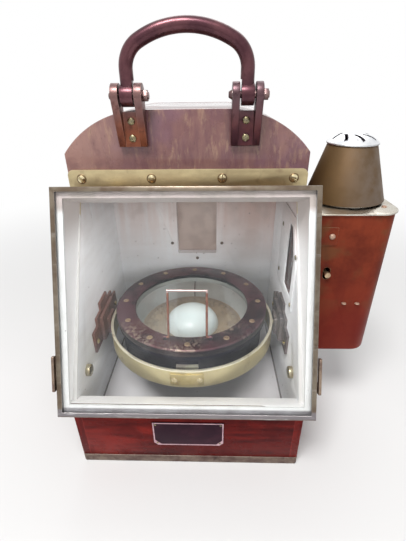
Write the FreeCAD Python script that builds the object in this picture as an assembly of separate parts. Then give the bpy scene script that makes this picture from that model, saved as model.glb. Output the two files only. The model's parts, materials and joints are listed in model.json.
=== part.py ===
import FreeCAD, Part
import math
import os

# Portable boat binnacle: a wooden case with a slanted glazed window, a gimballed liquid compass,
# a carrying handle and an oil-lamp housing on the right side.
# Millimetres. X runs to the right, Y to the back, Z up. The origin is the centre of the case's underside.

V = FreeCAD.Vector
X_AXIS = V(1, 0, 0)
Y_AXIS = V(0, 1, 0)
Z_AXIS = V(0, 0, 1)

# ---------------------------------------------------------------- driving dimensions
# wooden case; its width and depth follow from the gimbal ring
ring_outer = 99.5
ring_side_room = 12.5          # ring to the inner face of each side board
ring_end_room = 5.5            # ring to the inner faces of the front and back boards
case_height = 360.0
board = 8.0                    # side, front, upper front and roof boards
back_thickness = 12.0
base_plate_height = 11.5       # rim of the brass tray under the case
base_plate_sheet = 1.5
base_plate_round = 2.0
bottom_board_height = 10.0
bearer_width = 22.0
floor_top = 35.0               # height of the cabin floor
floor_thickness = 9.0
shoulder_radius = 104.0        # large arc from the crown down to the side
crown_half_width = 39.0        # flat part of the roof, each side of the middle
upper_setback = 106.0          # the upper front stands this far behind the lower front

# running fits and seats
shaft_gap = 0.05               # radial clearance of a pin in its bearing
seat_gap = 0.3                 # soft or moving faces that lie next to each other
screw_head_radius = 3.4
screw_head_height = 2.0
head_taper = 0.55              # top of a screw head, as a share of its radius
dome_bands = 6                 # straight bands that make up a dome or the turn of the bowl
dome_flat = 1.0                # small flat at the top of each dome

# window
window_side_overhang = 5.0     # window past each side of the case
window_top_drop = 61.3         # case top to the top of the window
window_tilt = 23.5             # degrees back from upright
window_overhang = 19.0         # foot of the window, in front of the lower front
window_foot_z = 96.0
frame_depth = 8.0
frame_wall = 1.6
rim_width = 4.5                # face of the frame's angle section
rim_thickness = 1.5
glass_thickness = 3.0
bead_margin = 10.0             # frame edge to the inner edge of the glazing bead

# hood
hood_sheet = 1.5
mouth_side_margin = 7.5        # window edge to the hood's inner face
mouth_low = 10.5
mouth_high_margin = 10.0
mouth_flange = 5.0
hood_flare = 0.15              # sideways spread per millimetre of depth
strip_drop = 54.0              # case top to the brass strip on the upper front
strip_round = 6.0
strip_screws = 4
strip_screw_inset = 13.5       # side of the case to the outer screws
strip_screw_drop = 9.0         # strip edge to the screws

# window hinge
hinge_radius = 2.8
hinge_pin_radius = 1.2
hinge_knuckle = 22.0
hinge_pitch = 150.0            # between the two hinges
hinge_edge_margin = 3.6

# window catches
catch_back = 47.0              # pivot, behind the window's face
catch_up = 29.6                # pivot, above the window's foot
catch_thickness = 2.5
catch_arm_width = 8.0
catch_finger_width = 5.0
catch_finger_length = 35.0
catch_side_gap = 1.2           # lever to the frame's side
catch_bolt_radius = 2.5
catch_nut_radius = 6.5
catch_nut_height = 5.0
catch_nut_chamfer = 0.8
catch_eye_extra = 1.5          # eye round the bolt, past the arm's sides
catch_round = 1.2

# handle and its clevis brackets
handle_offset = 3.5            # the handle sits a little right of the middle
handle_half_span = 53.0
handle_radius = 6.0
handle_crown = 51.5            # pivot to the middle of the grip
handle_corner_radius = 24.0
handle_leg = 20.0              # straight part of each leg above the pivot
handle_draw_in = 0.7           # the legs stand this much closer together than the eyes
handle_eye_radius = 9.0
handle_eye_width = 11.0
handle_bolt_radius = 3.0
bolt_head_radius = 4.3
bolt_head_height = 3.2
nut_radius = 5.2
nut_height = 4.5
bolt_end = 1.0                 # end of each bolt, past its nut
handle_flat_extra = 1.5        # flats on the legs, above the brackets' ears
clevis_gap = 14.0
ear_thickness = 6.5
ear_radius = 10.3
clevis_plate = 5.0
clevis_bottom_drop = 32.0      # case top to the lower end of the bracket
clevis_plate_drop = 1.5        # case top to the upper end of the bracket's plate
pivot_rise = 11.6              # pivot above the case top
pivot_forward = 8.0            # pivot in front of the upper face
clevis_screw_drops = (9.5, 24.5)

# light opening in the right side
light_front_y = -34.0
light_back_y = 4.0
light_top_drop = 112.0         # case top to the opening
light_bracket_room = 18.0      # top of the gimbal bracket to the opening
light_edge_margin = 8.0        # opening to the slanted edge of the side board
pane_thickness = 3.0
pane_lip = 2.0                 # cover of the frame over the pane
pane_frame_thickness = 1.5
pane_frame_front = 10.0
pane_frame_back = 42.0
pane_frame_height_margin = 10.0

# rear port
port_x = 3.0
port_width = 56.0
port_low_z = 160.0
port_high_z = 242.0
port_plate_margin = 16.0
port_plate_thickness = 1.5
port_bolt_radius = 1.5
port_nut_radius = 2.4
port_nut_height = 1.4

# nameplate, left bare
plate_width = 76.0
plate_height = 36.0
plate_low_z = 31.0
plate_thickness = 1.0
plate_chamfer = 4.0

# compass
pivot_z = 114.5
ring_wall = 3.0
ring_height = 22.0
trunnion_radius = 4.0
trunnion_reach = 8.0           # beyond the ring
bearing_gap = 2.0              # ring to the bearing block
bowl_pin_radius = 2.5
bowl_screw_radius = 3.5
screw_tip = 1.0                # pivot screw, inside the ring
cover_height = 15.0            # covers over the bowl's pivot screws
cover_half = 17.5
cover_sheet = 1.5
lug_half_width = 11.5
lug_rise = 12.0
lug_drop = 8.0
lug_root = 2.0                 # lug, sunk in the bowl's side
lug_gap = 3.0                  # lug to the ring
bezel_ring_gap = 5.5           # bezel to the inner face of the ring
bezel_face = 23.0              # bezel's edge to its opening
bezel_top_rise = 30.5          # bezel top above the gimbal axis
bezel_height = 8.0
bezel_chamfer = 1.5
bezel_lip = 1.5                # chamfer round the opening
bezel_screws = 12
bezel_screw_inset = 10.0       # bezel's edge to its screws
bezel_screw_radius = 3.2
bezel_screw_height = 1.2
cover_glass_seat = 8.0         # part of the glass under the bezel
cover_glass_thickness = 4.8
bowl_inset = 5.0               # bezel's edge to the bowl's side
bowl_wall = 4.0
bowl_flange_inset = 1.0        # bezel's edge to the bowl's flange
bowl_flange_height = 6.0
bowl_mouth_cover = 3.5         # flange's mouth, behind the bezel's opening
bowl_straight = 14.5           # from the gimbal axis down to where the bowl turns in
bowl_floor_radius = 42.0
bowl_turn_in = 0.375           # middle of the turn, as shares of its width and height
bowl_turn_down = 0.575
bowl_floor_drop = 60.5
ballast_radius = 30.0
ballast_height = 8.0
ballast_chamfer = 1.5
card_room = 19.0               # card's edge to the bowl
card_thickness = 1.0
card_drop = 4.5                # card below the gimbal axis
float_radius = 33.0
float_rise = 23.0
float_wall = 1.5
dome_shoulder = 0.72           # where a dome's arc passes, as a share of its radius and rise
card_hole = 8.0
post_radius = 4.0
post_foot_radius = 12.0
post_foot_height = 3.0
post_shoulder_drop = 6.0       # card down to where the post starts to taper
post_tip_radius = 0.5
post_tip_rise = 5.25           # post's tip above the card
jewel_radius = 4.5
jewel_height = 8.0
jewel_gap = 1.0                # card to the jewel cap
jewel_mouth = 3.0
jewel_mouth_gap = 0.4          # recess to the post's tip
magnet_width = 6.0
magnet_height = 5.0
magnet_length = 58.0
magnet_offset = 18.0
lubber_gap = 2.5
lubber_half = 0.8
lubber_drop = 2.0
lubber_rise = 16.0

# gimbal brackets on the side boards
bracket_plate = 3.0
bracket_steps = ((48.0, 15.5), (32.0, 25.5), (14.0, 35.5))   # half width and height above the axis
bracket_drop = 11.5
bearing_half_width = 11.0
rib_half_width = 24.2
rib_rise = 22.0                # top of the rib above the gimbal axis

# sight frame on the bezel
sight_half_width = 20.0
sight_height = 50.0
sight_wire = 1.25
sight_lean = 17.0              # degrees back from upright
sight_inset = 5.0              # bezel's opening to the sight's hinge
sight_hinge_rise = 3.0
sight_lug_gap = 2.0            # side of the sight to its lug
lug_size = 4.0

# lamp housing
lamp_width = 76.0
lamp_front_y = -42.0
lamp_back_y = 54.0
lamp_foot_drop = 63.0          # light opening down to the bottom of the housing
lamp_head_room = 21.0          # light opening up to the top of the housing
lamp_round = 20.0
lamp_sheet = 1.2
lamp_top_thickness = 1.5
lamp_top_overhang = 2.0
lamp_top_reach = 4.0           # overhang towards the case
slide_clearance = 0.5          # slide plate to the side of the open window
slide_pad = 3.0                # slide plate to the housing
slide_plate_thickness = 1.5
slide_margin = 6.0             # slide plate's edge, inside the housing's edge
rail_lip = 4.0
rail_sheet = 1.2
rest_height = 6.0
rail_drop = 4.0                # top of the housing to the top of the rails
slide_pad_gap = 1.0            # rail lip to the pad
patch_width = 18.0             # small riveted plate at the housing's upper front corner
patch_thickness = 1.0
patch_drop = 12.0
patch_height = 19.0
patch_rivet_inset = 12.6       # case side of the patch to its rivet
rivet_inset = 24.5             # outer side of the housing to the rivets
rivet_pitch = 14.0
rivet_drop = 97.5              # top of the housing to the rivets
rivet_radius = 2.2
rivet_height = 1.2
slot_width = 7.0
slot_height = 14.0
spindle_inset = 62.5           # outer side of the housing to the wick spindle
spindle_drop = 63.0            # top of the housing to the spindle
spindle_radius = 1.5
knob_radius = 3.0
knob_length = 4.0
knob_gap = 1.0
burner_inset = 27.0            # front of the housing to the burner
burner_radius = 11.0
burner_height = 6.0
burner_neck_radius = 8.5
burner_neck_height = 5.0
wick_tube_wall = 1.4
wick_tube_rise = 12.0          # spindle to the top of the wick tube
spindle_block = 6.0            # half height of the block round the spindle
spindle_block_reach = 5.5      # block in front of the wick
wick_width = 8.0
wick_thickness = 2.2
wick_travel = 6.5              # upward and downward travel of the wick
font_height = 43.0
font_gap = 1.0
font_inset = 5.0
font_round = 12.0

# chimney
chimney_inset = 41.0           # outer side of the housing to the chimney's axis
chimney_back = 51.0            # front of the housing to the chimney's axis
chimney_base_radius = 40.0
chimney_top_radius = 23.7
chimney_rise = 2.0             # gap under the chimney's rim
chimney_height = 54.0
chimney_sheet = 1.0
collar_radius = 35.0
collar_height = 9.0
collar_sheet = 1.5
ledge_width = 4.0              # part of the chimney's ledge that lies inside the collar's edge
cap_rise = 9.0
cap_overhang = 1.2
cap_sheet = 1.2
cap_slots = 8
cap_slot_width = 2.0
cap_slot_in = 0.4              # ends of each slot, as shares of the cap's radius
cap_slot_out = 0.84
cap_slot_sweep = 32.0          # degrees each slot is turned from the radius

# ---------------------------------------------------------------- derived places
case_width = 2 * (ring_outer + ring_side_room + board)
case_depth = 2 * (ring_outer + ring_end_room) + board + back_thickness
window_width = case_width + 2 * window_side_overhang
window_length = (case_height - window_top_drop - window_foot_z) / math.cos(math.radians(window_tilt))
strip_top_z = case_height - strip_drop
strip_screw_pitch = (case_width - 2 * strip_screw_inset) / (strip_screws - 1)
light_high_z = case_height - light_top_drop
light_low_z = pivot_z + max(rise for half, rise in bracket_steps) + light_bracket_room
lamp_low_z = light_low_z - lamp_foot_drop
half_width = case_width / 2
front_y = -case_depth / 2
back_y = case_depth / 2
upper_y = front_y + upper_setback
upper_back_y = upper_y + board
inner_x = half_width - board
inner_front_y = front_y + board
inner_back_y = back_y - back_thickness
arc_centre_z = case_height - shoulder_radius
spring_z = arc_centre_z + math.sqrt(shoulder_radius ** 2 - (half_width - crown_half_width) ** 2)

foot_y = front_y - window_overhang
tilt = math.radians(window_tilt)
sin_tilt, cos_tilt = math.sin(tilt), math.cos(tilt)
mouth_high = window_length - mouth_high_margin
mouth_half_width = window_width / 2 - mouth_side_margin
hood_front = frame_depth + seat_gap


def window_point(up, depth):
    """Y and Z of a point measured up the window and inwards from its face."""
    return (foot_y + up * sin_tilt + depth * cos_tilt,
            window_foot_z + up * cos_tilt - depth * sin_tilt)


def height_on_line(up, y):
    """Z at y on the line that leaves the window squarely at a given place."""
    depth = (y - foot_y - up * sin_tilt) / cos_tilt
    return window_point(up, depth)[1]


slope_low = (front_y, height_on_line(mouth_low - hood_sheet, front_y))
slope_high = (upper_y, height_on_line(mouth_high + hood_sheet, upper_y))
slope_angle = math.degrees(math.atan2(slope_high[1] - slope_low[1], slope_high[0] - slope_low[0]))
slope_length = math.hypot(slope_high[0] - slope_low[0], slope_high[1] - slope_low[1])

handle_pivot_y = upper_y - pivot_forward
handle_pivot_z = case_height + pivot_rise

compass_y = (inner_front_y + inner_back_y) / 2
ring_inner = ring_outer - ring_wall
bezel_outer = ring_inner - bezel_ring_gap
bezel_window = bezel_outer - bezel_face
bezel_screw_circle = bezel_outer - bezel_screw_inset
cover_glass_radius = bezel_window + cover_glass_seat
bowl_radius = bezel_outer - bowl_inset
bowl_flange_radius = bezel_outer - bowl_flange_inset
bowl_mouth = bezel_window + bowl_mouth_cover
bezel_top = pivot_z + bezel_top_rise
bezel_bottom = bezel_top - bezel_height
bowl_inner = bowl_radius - bowl_wall
card_radius = bowl_inner - card_room
bowl_floor_z = pivot_z - bowl_floor_drop
cavity_floor_z = bowl_floor_z + bowl_wall
card_z = pivot_z - card_drop
float_top = card_z + card_thickness + float_rise
lug_outer = ring_inner - lug_gap
sight_y = compass_y - bezel_window - sight_inset
sight_z = bezel_top + sight_hinge_rise

slide_x = window_width / 2 + slide_clearance
rail_lip_x = slide_x + slide_plate_thickness + seat_gap
lamp_x = slide_x + slide_plate_thickness + slide_pad
lamp_outer_x = lamp_x + lamp_width
lamp_high_z = light_high_z + lamp_head_room
lamp_lid_z = lamp_high_z + lamp_top_thickness
font_top = lamp_low_z + lamp_sheet + font_height
spindle_x = lamp_outer_x - spindle_inset
spindle_z = lamp_high_z - spindle_drop
burner_y = lamp_front_y + burner_inset
chimney_x = lamp_outer_x - chimney_inset
chimney_y = lamp_front_y + chimney_back
chimney_low_z = lamp_lid_z + chimney_rise
chimney_high_z = chimney_low_z + chimney_height


# ---------------------------------------------------------------- shape helpers
def box(x0, x1, y0, y1, z0, z1):
    """Block between two corners, given in any order."""
    low = V(min(x0, x1), min(y0, y1), min(z0, z1))
    return Part.makeBox(abs(x1 - x0), abs(y1 - y0), abs(z1 - z0), low)


def rod(radius, start, end):
    """Cylinder from one point to another."""
    run = end - start
    return Part.makeCylinder(radius, run.Length, start, run)


def cone(radius_a, radius_b, start, end):
    """Cone from one point to another."""
    run = end - start
    return Part.makeCone(radius_a, radius_b, run.Length, start, run)


def tube(outer, inner, centre, height):
    """Upright ring standing on centre."""
    bore = Part.makeCylinder(inner, height, centre)
    return Part.makeCylinder(outer, height, centre).cut(bore)


def prism(points, direction):
    """Solid from a closed outline swept along a vector."""
    wire = Part.makePolygon(list(points) + [points[0]])
    return Part.Face(wire).extrude(direction)


def side_prism(outline, x0, x1):
    """Solid from an outline of (y, z) points between two planes of X."""
    return prism([V(x0, y, z) for y, z in outline], V(x1 - x0, 0, 0))


def front_prism(outline, y0, y1):
    """Solid from an outline of (x, z) points between two planes of Y."""
    return prism([V(x, y0, z) for x, z in outline], V(0, y1 - y0, 0))


def turned(edges, centre):
    """Revolve a closed profile of edges, drawn in the XZ plane, about a vertical axis."""
    face = Part.Face(Part.Wire(edges))
    solid = face.revolve(V(0, 0, 0), Z_AXIS, 360)
    solid.translate(V(centre.x, centre.y, 0))
    return solid


def line(x0, z0, x1, z1):
    return Part.LineSegment(V(x0, 0, z0), V(x1, 0, z1)).toShape()


def arc(x0, z0, x1, z1, x2, z2):
    return Part.Arc(V(x0, 0, z0), V(x1, 0, z1), V(x2, 0, z2)).toShape()


def curve(start, middle, end, bands):
    """Points of an arc through three (radius, z) points, split into straight bands."""
    path = arc(*start, *middle, *end)
    return [(point.x, point.z) for point in path.discretize(bands + 1)]


def turned_outline(points, centre):
    """Revolve a straight-sided profile of (radius, z) points."""
    closed = list(points) + [points[0]]
    edges = [line(*a, *b) for a, b in zip(closed, closed[1:])]
    return turned(edges, centre)


def tilted(shape, angle, y, z):
    """Stand a flat-built shape up about X and put its origin at y, z."""
    shape = shape.copy()
    shape.rotate(V(0, 0, 0), X_AXIS, angle)
    shape.translate(V(0, y, z))
    return shape


def in_window(shape):
    """Move a shape built flat (x across, y up the window, z outwards) to the window's plane."""
    return tilted(shape, 90 - window_tilt, foot_y, window_foot_z)


def mirrored(shape, x=0.0):
    return shape.mirror(V(x, 0, 0), X_AXIS)


def fused(first, *others):
    return first.fuse(list(others)).removeSplitter()


def round_head(centre, direction, radius=screw_head_radius, height=screw_head_height):
    """Low tapered screw head standing on centre."""
    head = Part.makeCone(radius, radius * head_taper, height)
    head.Placement = FreeCAD.Placement(centre, FreeCAD.Rotation(Z_AXIS, direction))
    return head


def save(name, shape):
    """Write one node; a list of solids becomes a group."""
    if isinstance(shape, list):
        shape = Part.makeCompound(shape)
    if not shape.isValid():
        print("not valid:", name)
    print(f"{name}: {len(shape.Solids)} solid(s), {shape.Volume / 1000:.2f} cm3")
    shape.exportStep(os.path.join("parts", name + ".step"))


# ---------------------------------------------------------------- case
def arch_outline(inset):
    """Edges of the arched outline in the XZ plane, from the left spring over the crown to the right."""
    radius = shoulder_radius - inset
    edge_x = half_width
    edge_z = arc_centre_z + math.sqrt(radius ** 2 - (edge_x - crown_half_width) ** 2)
    top = case_height - inset
    mid_angle = math.asin((edge_x - crown_half_width) / radius) / 2
    mid_x = crown_half_width + radius * math.sin(mid_angle)
    mid_z = arc_centre_z + radius * math.cos(mid_angle)
    return edge_z, [
        arc(-edge_x, edge_z, -mid_x, mid_z, -crown_half_width, top),
        line(-crown_half_width, top, crown_half_width, top),
        arc(crown_half_width, top, mid_x, mid_z, edge_x, edge_z),
    ]


def arched_board(low_z, y0, y1, inset=0.0):
    """Board with the case's arched top."""
    edge_z, edges = arch_outline(inset)
    edges.append(line(half_width, edge_z, half_width, low_z))
    edges.append(line(half_width, low_z, -half_width, low_z))
    edges.append(line(-half_width, low_z, -half_width, edge_z))
    board_solid = Part.Face(Part.Wire(edges)).extrude(V(0, y1 - y0, 0))
    board_solid.translate(V(0, y0, 0))
    return board_solid


def make_side_board():
    outline = [
        (front_y, base_plate_height),
        (inner_back_y, base_plate_height),
        (inner_back_y, spring_z),
        (upper_back_y, spring_z),
        (upper_back_y, slope_high[1]),
        slope_high,
        slope_low,
    ]
    return side_prism(outline, inner_x, half_width)


def light_outline(front, back, low, high, margin):
    """Outline in Y and Z that keeps a margin behind the slanted edge of the side board."""
    run, rise = slope_high[0] - slope_low[0], slope_high[1] - slope_low[1]
    shift = margin * slope_length / rise
    edge_y = slope_low[0] + shift + (high - slope_low[1]) * run / rise
    edge_z = slope_low[1] + (front - slope_low[0] - shift) * rise / run
    return [(front, low), (back, low), (back, high), (edge_y, high), (front, edge_z)]


def light_opening(inset, x0, x1):
    """Solid the size of the light opening, its sides moved inwards by inset."""
    outline = light_outline(light_front_y + inset, light_back_y - inset, light_low_z + inset,
                            light_high_z - inset, light_edge_margin + inset)
    return side_prism(outline, x0, x1)


def catch_pivot():
    return window_point(catch_up, catch_back)


def make_case():
    low_z = base_plate_height
    tray = box(-half_width, half_width, front_y, back_y, 0, base_plate_height)
    uprights = [e for e in tray.Edges if abs(e.tangentAt(e.FirstParameter).z) > 0.9]
    tray = tray.makeFillet(base_plate_round, uprights)
    filling = (-half_width + base_plate_sheet, half_width - base_plate_sheet,
               front_y + base_plate_sheet, back_y - base_plate_sheet, base_plate_sheet, base_plate_height)
    save("base_plate", tray.cut(box(*filling)))

    inside = (-inner_x, inner_x, inner_front_y, inner_back_y)
    bearer_low = low_z + bottom_board_height
    bearer_high = floor_top - floor_thickness
    bearers = [box(side, side + bearer_width, inner_front_y, inner_back_y, bearer_low, bearer_high)
               for side in (-inner_x / 2 - bearer_width / 2, inner_x / 2 - bearer_width / 2)]
    bottom = box(*inside, low_z, bearer_low)
    save("bottom_board", fused(bottom, box(*filling), *bearers))
    save("floor_board", box(*inside, bearer_high, floor_top))

    pivot_y, bolt_z = catch_pivot()
    bolt_hole = rod(catch_bolt_radius, V(0, pivot_y, bolt_z), V(case_width, pivot_y, bolt_z))
    side = make_side_board().cut(bolt_hole)
    save("side_board_left", mirrored(side))
    save("side_board_right", side.cut(light_opening(0, inner_x, half_width)))

    front_outline = [
        (front_y, low_z),
        (inner_front_y, low_z),
        (inner_front_y, height_on_line(mouth_low - hood_sheet, inner_front_y)),
        slope_low,
    ]
    save("front_board", side_prism(front_outline, -inner_x, inner_x))
    save("upper_front_board", arched_board(slope_high[1], upper_y, upper_back_y))
    half = port_width / 2
    port = box(port_x - half, port_x + half, inner_back_y, back_y, port_low_z, port_high_z)
    back = arched_board(low_z, inner_back_y, back_y).cut(port)
    for x, z in port_bolt_places():
        back = back.cut(rod(port_bolt_radius, V(x, inner_back_y, z), V(x, back_y, z)))
    save("back_board", back)

    outer = arched_board(low_z, upper_back_y, inner_back_y)
    hollow = arched_board(low_z, upper_back_y, inner_back_y, board)
    below = box(-half_width, half_width, upper_back_y, inner_back_y, low_z, spring_z)
    save("roof_board", outer.cut(hollow).cut(below))


def port_bolt_places():
    """X and Z of the bolts round the rear port."""
    reach = port_width / 2 + port_plate_margin / 2
    side_z = port_low_z + port_plate_margin
    return [(port_x - reach, side_z), (port_x + reach, side_z),
            (port_x, port_low_z - port_plate_margin / 2), (port_x, port_high_z + port_plate_margin / 2)]


def make_rear_port():
    margin = port_plate_margin
    x0 = port_x - port_width / 2 - margin
    x1 = port_x + port_width / 2 + margin
    outer_y = back_y + port_plate_thickness
    plate = box(x0, x1, back_y, outer_y, port_low_z - margin, port_high_z + margin)
    bolts = []
    for x, z in port_bolt_places():
        shank = rod(port_bolt_radius, V(x, inner_back_y, z), V(x, outer_y, z))
        plate = plate.cut(shank)
        head = round_head(V(x, outer_y, z), Y_AXIS)
        nut = round_head(V(x, inner_back_y, z), -Y_AXIS, port_nut_radius, port_nut_height)
        bolts.append(fused(shank, head, nut))
    save("rear_port_plate", plate)
    save("rear_port_bolts", bolts)


def make_light_pane():
    y0, y1, z0, z1 = light_front_y, light_back_y, light_low_z, light_high_z
    save("light_pane", light_opening(0, inner_x, inner_x + pane_thickness))
    margin = pane_frame_height_margin
    inner_face = inner_x - pane_frame_thickness
    outline = light_outline(y0 - pane_frame_front, y1 + pane_frame_back, z0 - margin, z1 + margin, pane_lip)
    plate = side_prism(outline, inner_face, inner_x)
    sight = light_opening(pane_lip, inner_face, inner_x)
    save("light_pane_frame", plate.cut(sight))


def make_nameplate():
    half = plate_width / 2
    outline = [(-half, plate_low_z + plate_chamfer), (-half + plate_chamfer, plate_low_z),
               (half - plate_chamfer, plate_low_z), (half, plate_low_z + plate_chamfer),
               (half, plate_low_z + plate_height), (-half, plate_low_z + plate_height)]
    save("nameplate", front_prism(outline, front_y - plate_thickness, front_y))


# ---------------------------------------------------------------- hood
def flared_prism(half_front, low, high, depth_end):
    """Box that narrows inwards, built flat: half_front is its half width at the hood's front."""
    half_back = half_front - hood_flare * (depth_end - hood_front)
    outline = [V(-half_front, low, -hood_front), V(half_front, low, -hood_front),
               V(half_back, low, -depth_end), V(-half_back, low, -depth_end)]
    return prism(outline, V(0, high - low, 0))


def make_hood():
    reach = upper_setback
    shell = flared_prism(mouth_half_width + hood_sheet, mouth_low - hood_sheet,
                         mouth_high + hood_sheet, reach)
    shell = shell.cut(flared_prism(mouth_half_width, mouth_low, mouth_high, reach))
    shell = in_window(shell)
    # everything behind the slanted edge of the case, and behind the brass strip, is cut away
    behind = box(-case_width, case_width, -case_height, case_height, -case_height, hood_sheet)
    shell = shell.cut(tilted(behind, slope_angle, *slope_low))
    shell = shell.cut(box(-case_width, case_width, upper_y - hood_sheet, back_y, 0, case_height))
    # flange that the window closes against
    flange_half = mouth_half_width + mouth_flange
    flange = box(-flange_half, flange_half, mouth_low - mouth_flange, mouth_high + hood_sheet + hinge_clear(),
                 -hood_front - hood_sheet, -hood_front)
    flange = flange.cut(box(-mouth_half_width, mouth_half_width, mouth_low, mouth_high,
                            -hood_front - hood_sheet, -hood_front))
    flange = in_window(flange)
    # sill that runs back over the front board
    sill_depth = (inner_front_y - window_point(mouth_low, 0)[0]) / cos_tilt
    sill = box(-inner_x, inner_x, mouth_low - hood_sheet, mouth_low, -sill_depth, -hood_front)
    save("hood_shell", fused(shell, flange, in_window(sill)))

    # strips on the slanted edges of the side boards, and the strip across the upper front
    side = box(inner_x, half_width, 0, slope_length, 0, hood_sheet)
    strip = box(-half_width, half_width, upper_y - hood_sheet, upper_y, slope_high[1], strip_top_z)
    corners = [e for e in strip.Edges
               if abs(e.tangentAt(e.FirstParameter).y) > 0.9 and e.CenterOfMass.z > strip_top_z - 1]
    strip = strip.makeFillet(strip_round, corners)
    side = tilted(side, slope_angle, *slope_low)
    save("hood_flange", fused(strip, side, mirrored(side)))

    first = -strip_screw_pitch * (strip_screws - 1) / 2
    screw_y, screw_z = upper_y - hood_sheet, strip_top_z - strip_screw_drop
    heads = [round_head(V(first + i * strip_screw_pitch, screw_y, screw_z), -Y_AXIS)
             for i in range(strip_screws)]
    save("hood_screws", heads)


def hinge_clear():
    """Height of the hood's flange above its roof, kept below the hinge barrels."""
    return window_length - hinge_edge_margin - hinge_radius - mouth_high - hood_sheet - seat_gap


# ---------------------------------------------------------------- window
def ring_frame(margin_out, margin_in, z0, z1):
    """Rectangular ring built flat, its edges measured inwards from the window's outline."""
    half = window_width / 2
    outer = box(-half + margin_out, half - margin_out, margin_out, window_length - margin_out, z0, z1)
    inner = box(-half + margin_in, half - margin_in, margin_in, window_length - margin_in, z0, z1)
    return outer.cut(inner)


def make_window():
    lip = ring_frame(0, rim_width, -rim_thickness, 0)
    wall = ring_frame(0, frame_wall, -frame_depth, -rim_thickness)
    save("window_frame", in_window(fused(lip, wall)))
    half = window_width / 2 - frame_wall
    back = -rim_thickness - glass_thickness
    glass = box(-half, half, frame_wall, window_length - frame_wall, back, -rim_thickness)
    save("window_glass", in_window(glass))
    save("glazing_bead", in_window(ring_frame(frame_wall, bead_margin, -frame_depth, back)))

    barrel_y = window_length - hinge_edge_margin
    barrel_z = -frame_depth - hinge_radius - seat_gap * 2
    third = hinge_knuckle / 3
    door_leaves, hood_leaves, pins = [], [], []
    for centre in (-hinge_pitch / 2, hinge_pitch / 2):
        start = centre - hinge_knuckle / 2
        end = V(start + hinge_knuckle, barrel_y, barrel_z)
        pins.append(rod(hinge_pin_radius, V(start, barrel_y, barrel_z), end))
        for i in range(3):
            x0 = start + i * third + (seat_gap / 2 if i else 0)
            x1 = start + (i + 1) * third - (seat_gap / 2 if i < 2 else 0)
            barrel = rod(hinge_radius, V(x0, barrel_y, barrel_z), V(x1, barrel_y, barrel_z))
            if i == 1:
                leaf = box(x0, x1, barrel_y - hinge_radius, barrel_y + hinge_radius, barrel_z, -frame_depth)
                leaves = door_leaves
                bore_radius = hinge_pin_radius + shaft_gap
            else:
                roof = mouth_high + hood_sheet
                leaf = box(x0, x1, roof, barrel_y, barrel_z - hinge_radius, barrel_z)
                leaves = hood_leaves
                bore_radius = hinge_pin_radius
            bore = rod(bore_radius, V(x0, barrel_y, barrel_z), V(x1, barrel_y, barrel_z))
            leaves.append(in_window(barrel.fuse(leaf).removeSplitter().cut(bore)))
    save("window_hinge_leaves", door_leaves)
    pairs = zip(pins, hood_leaves[::2], hood_leaves[1::2])
    save("hood_hinges", [fused(in_window(pin), left, right) for pin, left, right in pairs])


def make_catches():
    y0, z0 = catch_pivot()
    inner = window_width / 2 + catch_side_gap
    outer = inner + catch_thickness
    # lever built flat in the window's own directions: x outwards, y up the window, z outwards from its face
    arm_half = catch_arm_width / 2
    face = rim_thickness
    finger_back = -catch_finger_width + face
    arm = box(inner, outer, catch_up - arm_half, catch_up + arm_half, -catch_back, face)
    axis_ends = (V(inner, catch_up, -catch_back), V(outer, catch_up, -catch_back))
    eye = rod(arm_half + catch_eye_extra, *axis_ends)
    finger_low = catch_up - arm_half
    finger = box(inner, outer, finger_low, finger_low + catch_finger_length, finger_back, face)
    lever = fused(arm, eye, finger)
    corner_edges = [e for e in lever.Edges
                    if abs(e.tangentAt(e.FirstParameter).x) > 0.9 and e.CenterOfMass.z > finger_back - 1]
    lever = lever.makeFillet(catch_round, corner_edges)
    lever = in_window(lever.cut(rod(catch_bolt_radius + shaft_gap, *axis_ends)))
    save("catch_right", lever)
    save("catch_left", mirrored(lever))

    shank = rod(catch_bolt_radius, V(inner_x, y0, z0), V(outer + seat_gap, y0, z0))
    spacer = rod(catch_arm_width / 2, V(half_width, y0, z0), V(inner - seat_gap, y0, z0))
    head = round_head(V(outer + seat_gap, y0, z0), X_AXIS, catch_arm_width / 2)
    nut = rod(catch_nut_radius, V(inner_x - catch_nut_height, y0, z0), V(inner_x, y0, z0))
    rim = [e for e in nut.Edges if e.Closed and e.CenterOfMass.x < inner_x - catch_nut_height / 2]
    nut = nut.makeChamfer(catch_nut_chamfer, rim)
    bolt = fused(shank, spacer, head, nut)
    save("catch_bolts", [bolt, mirrored(bolt)])


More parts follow.
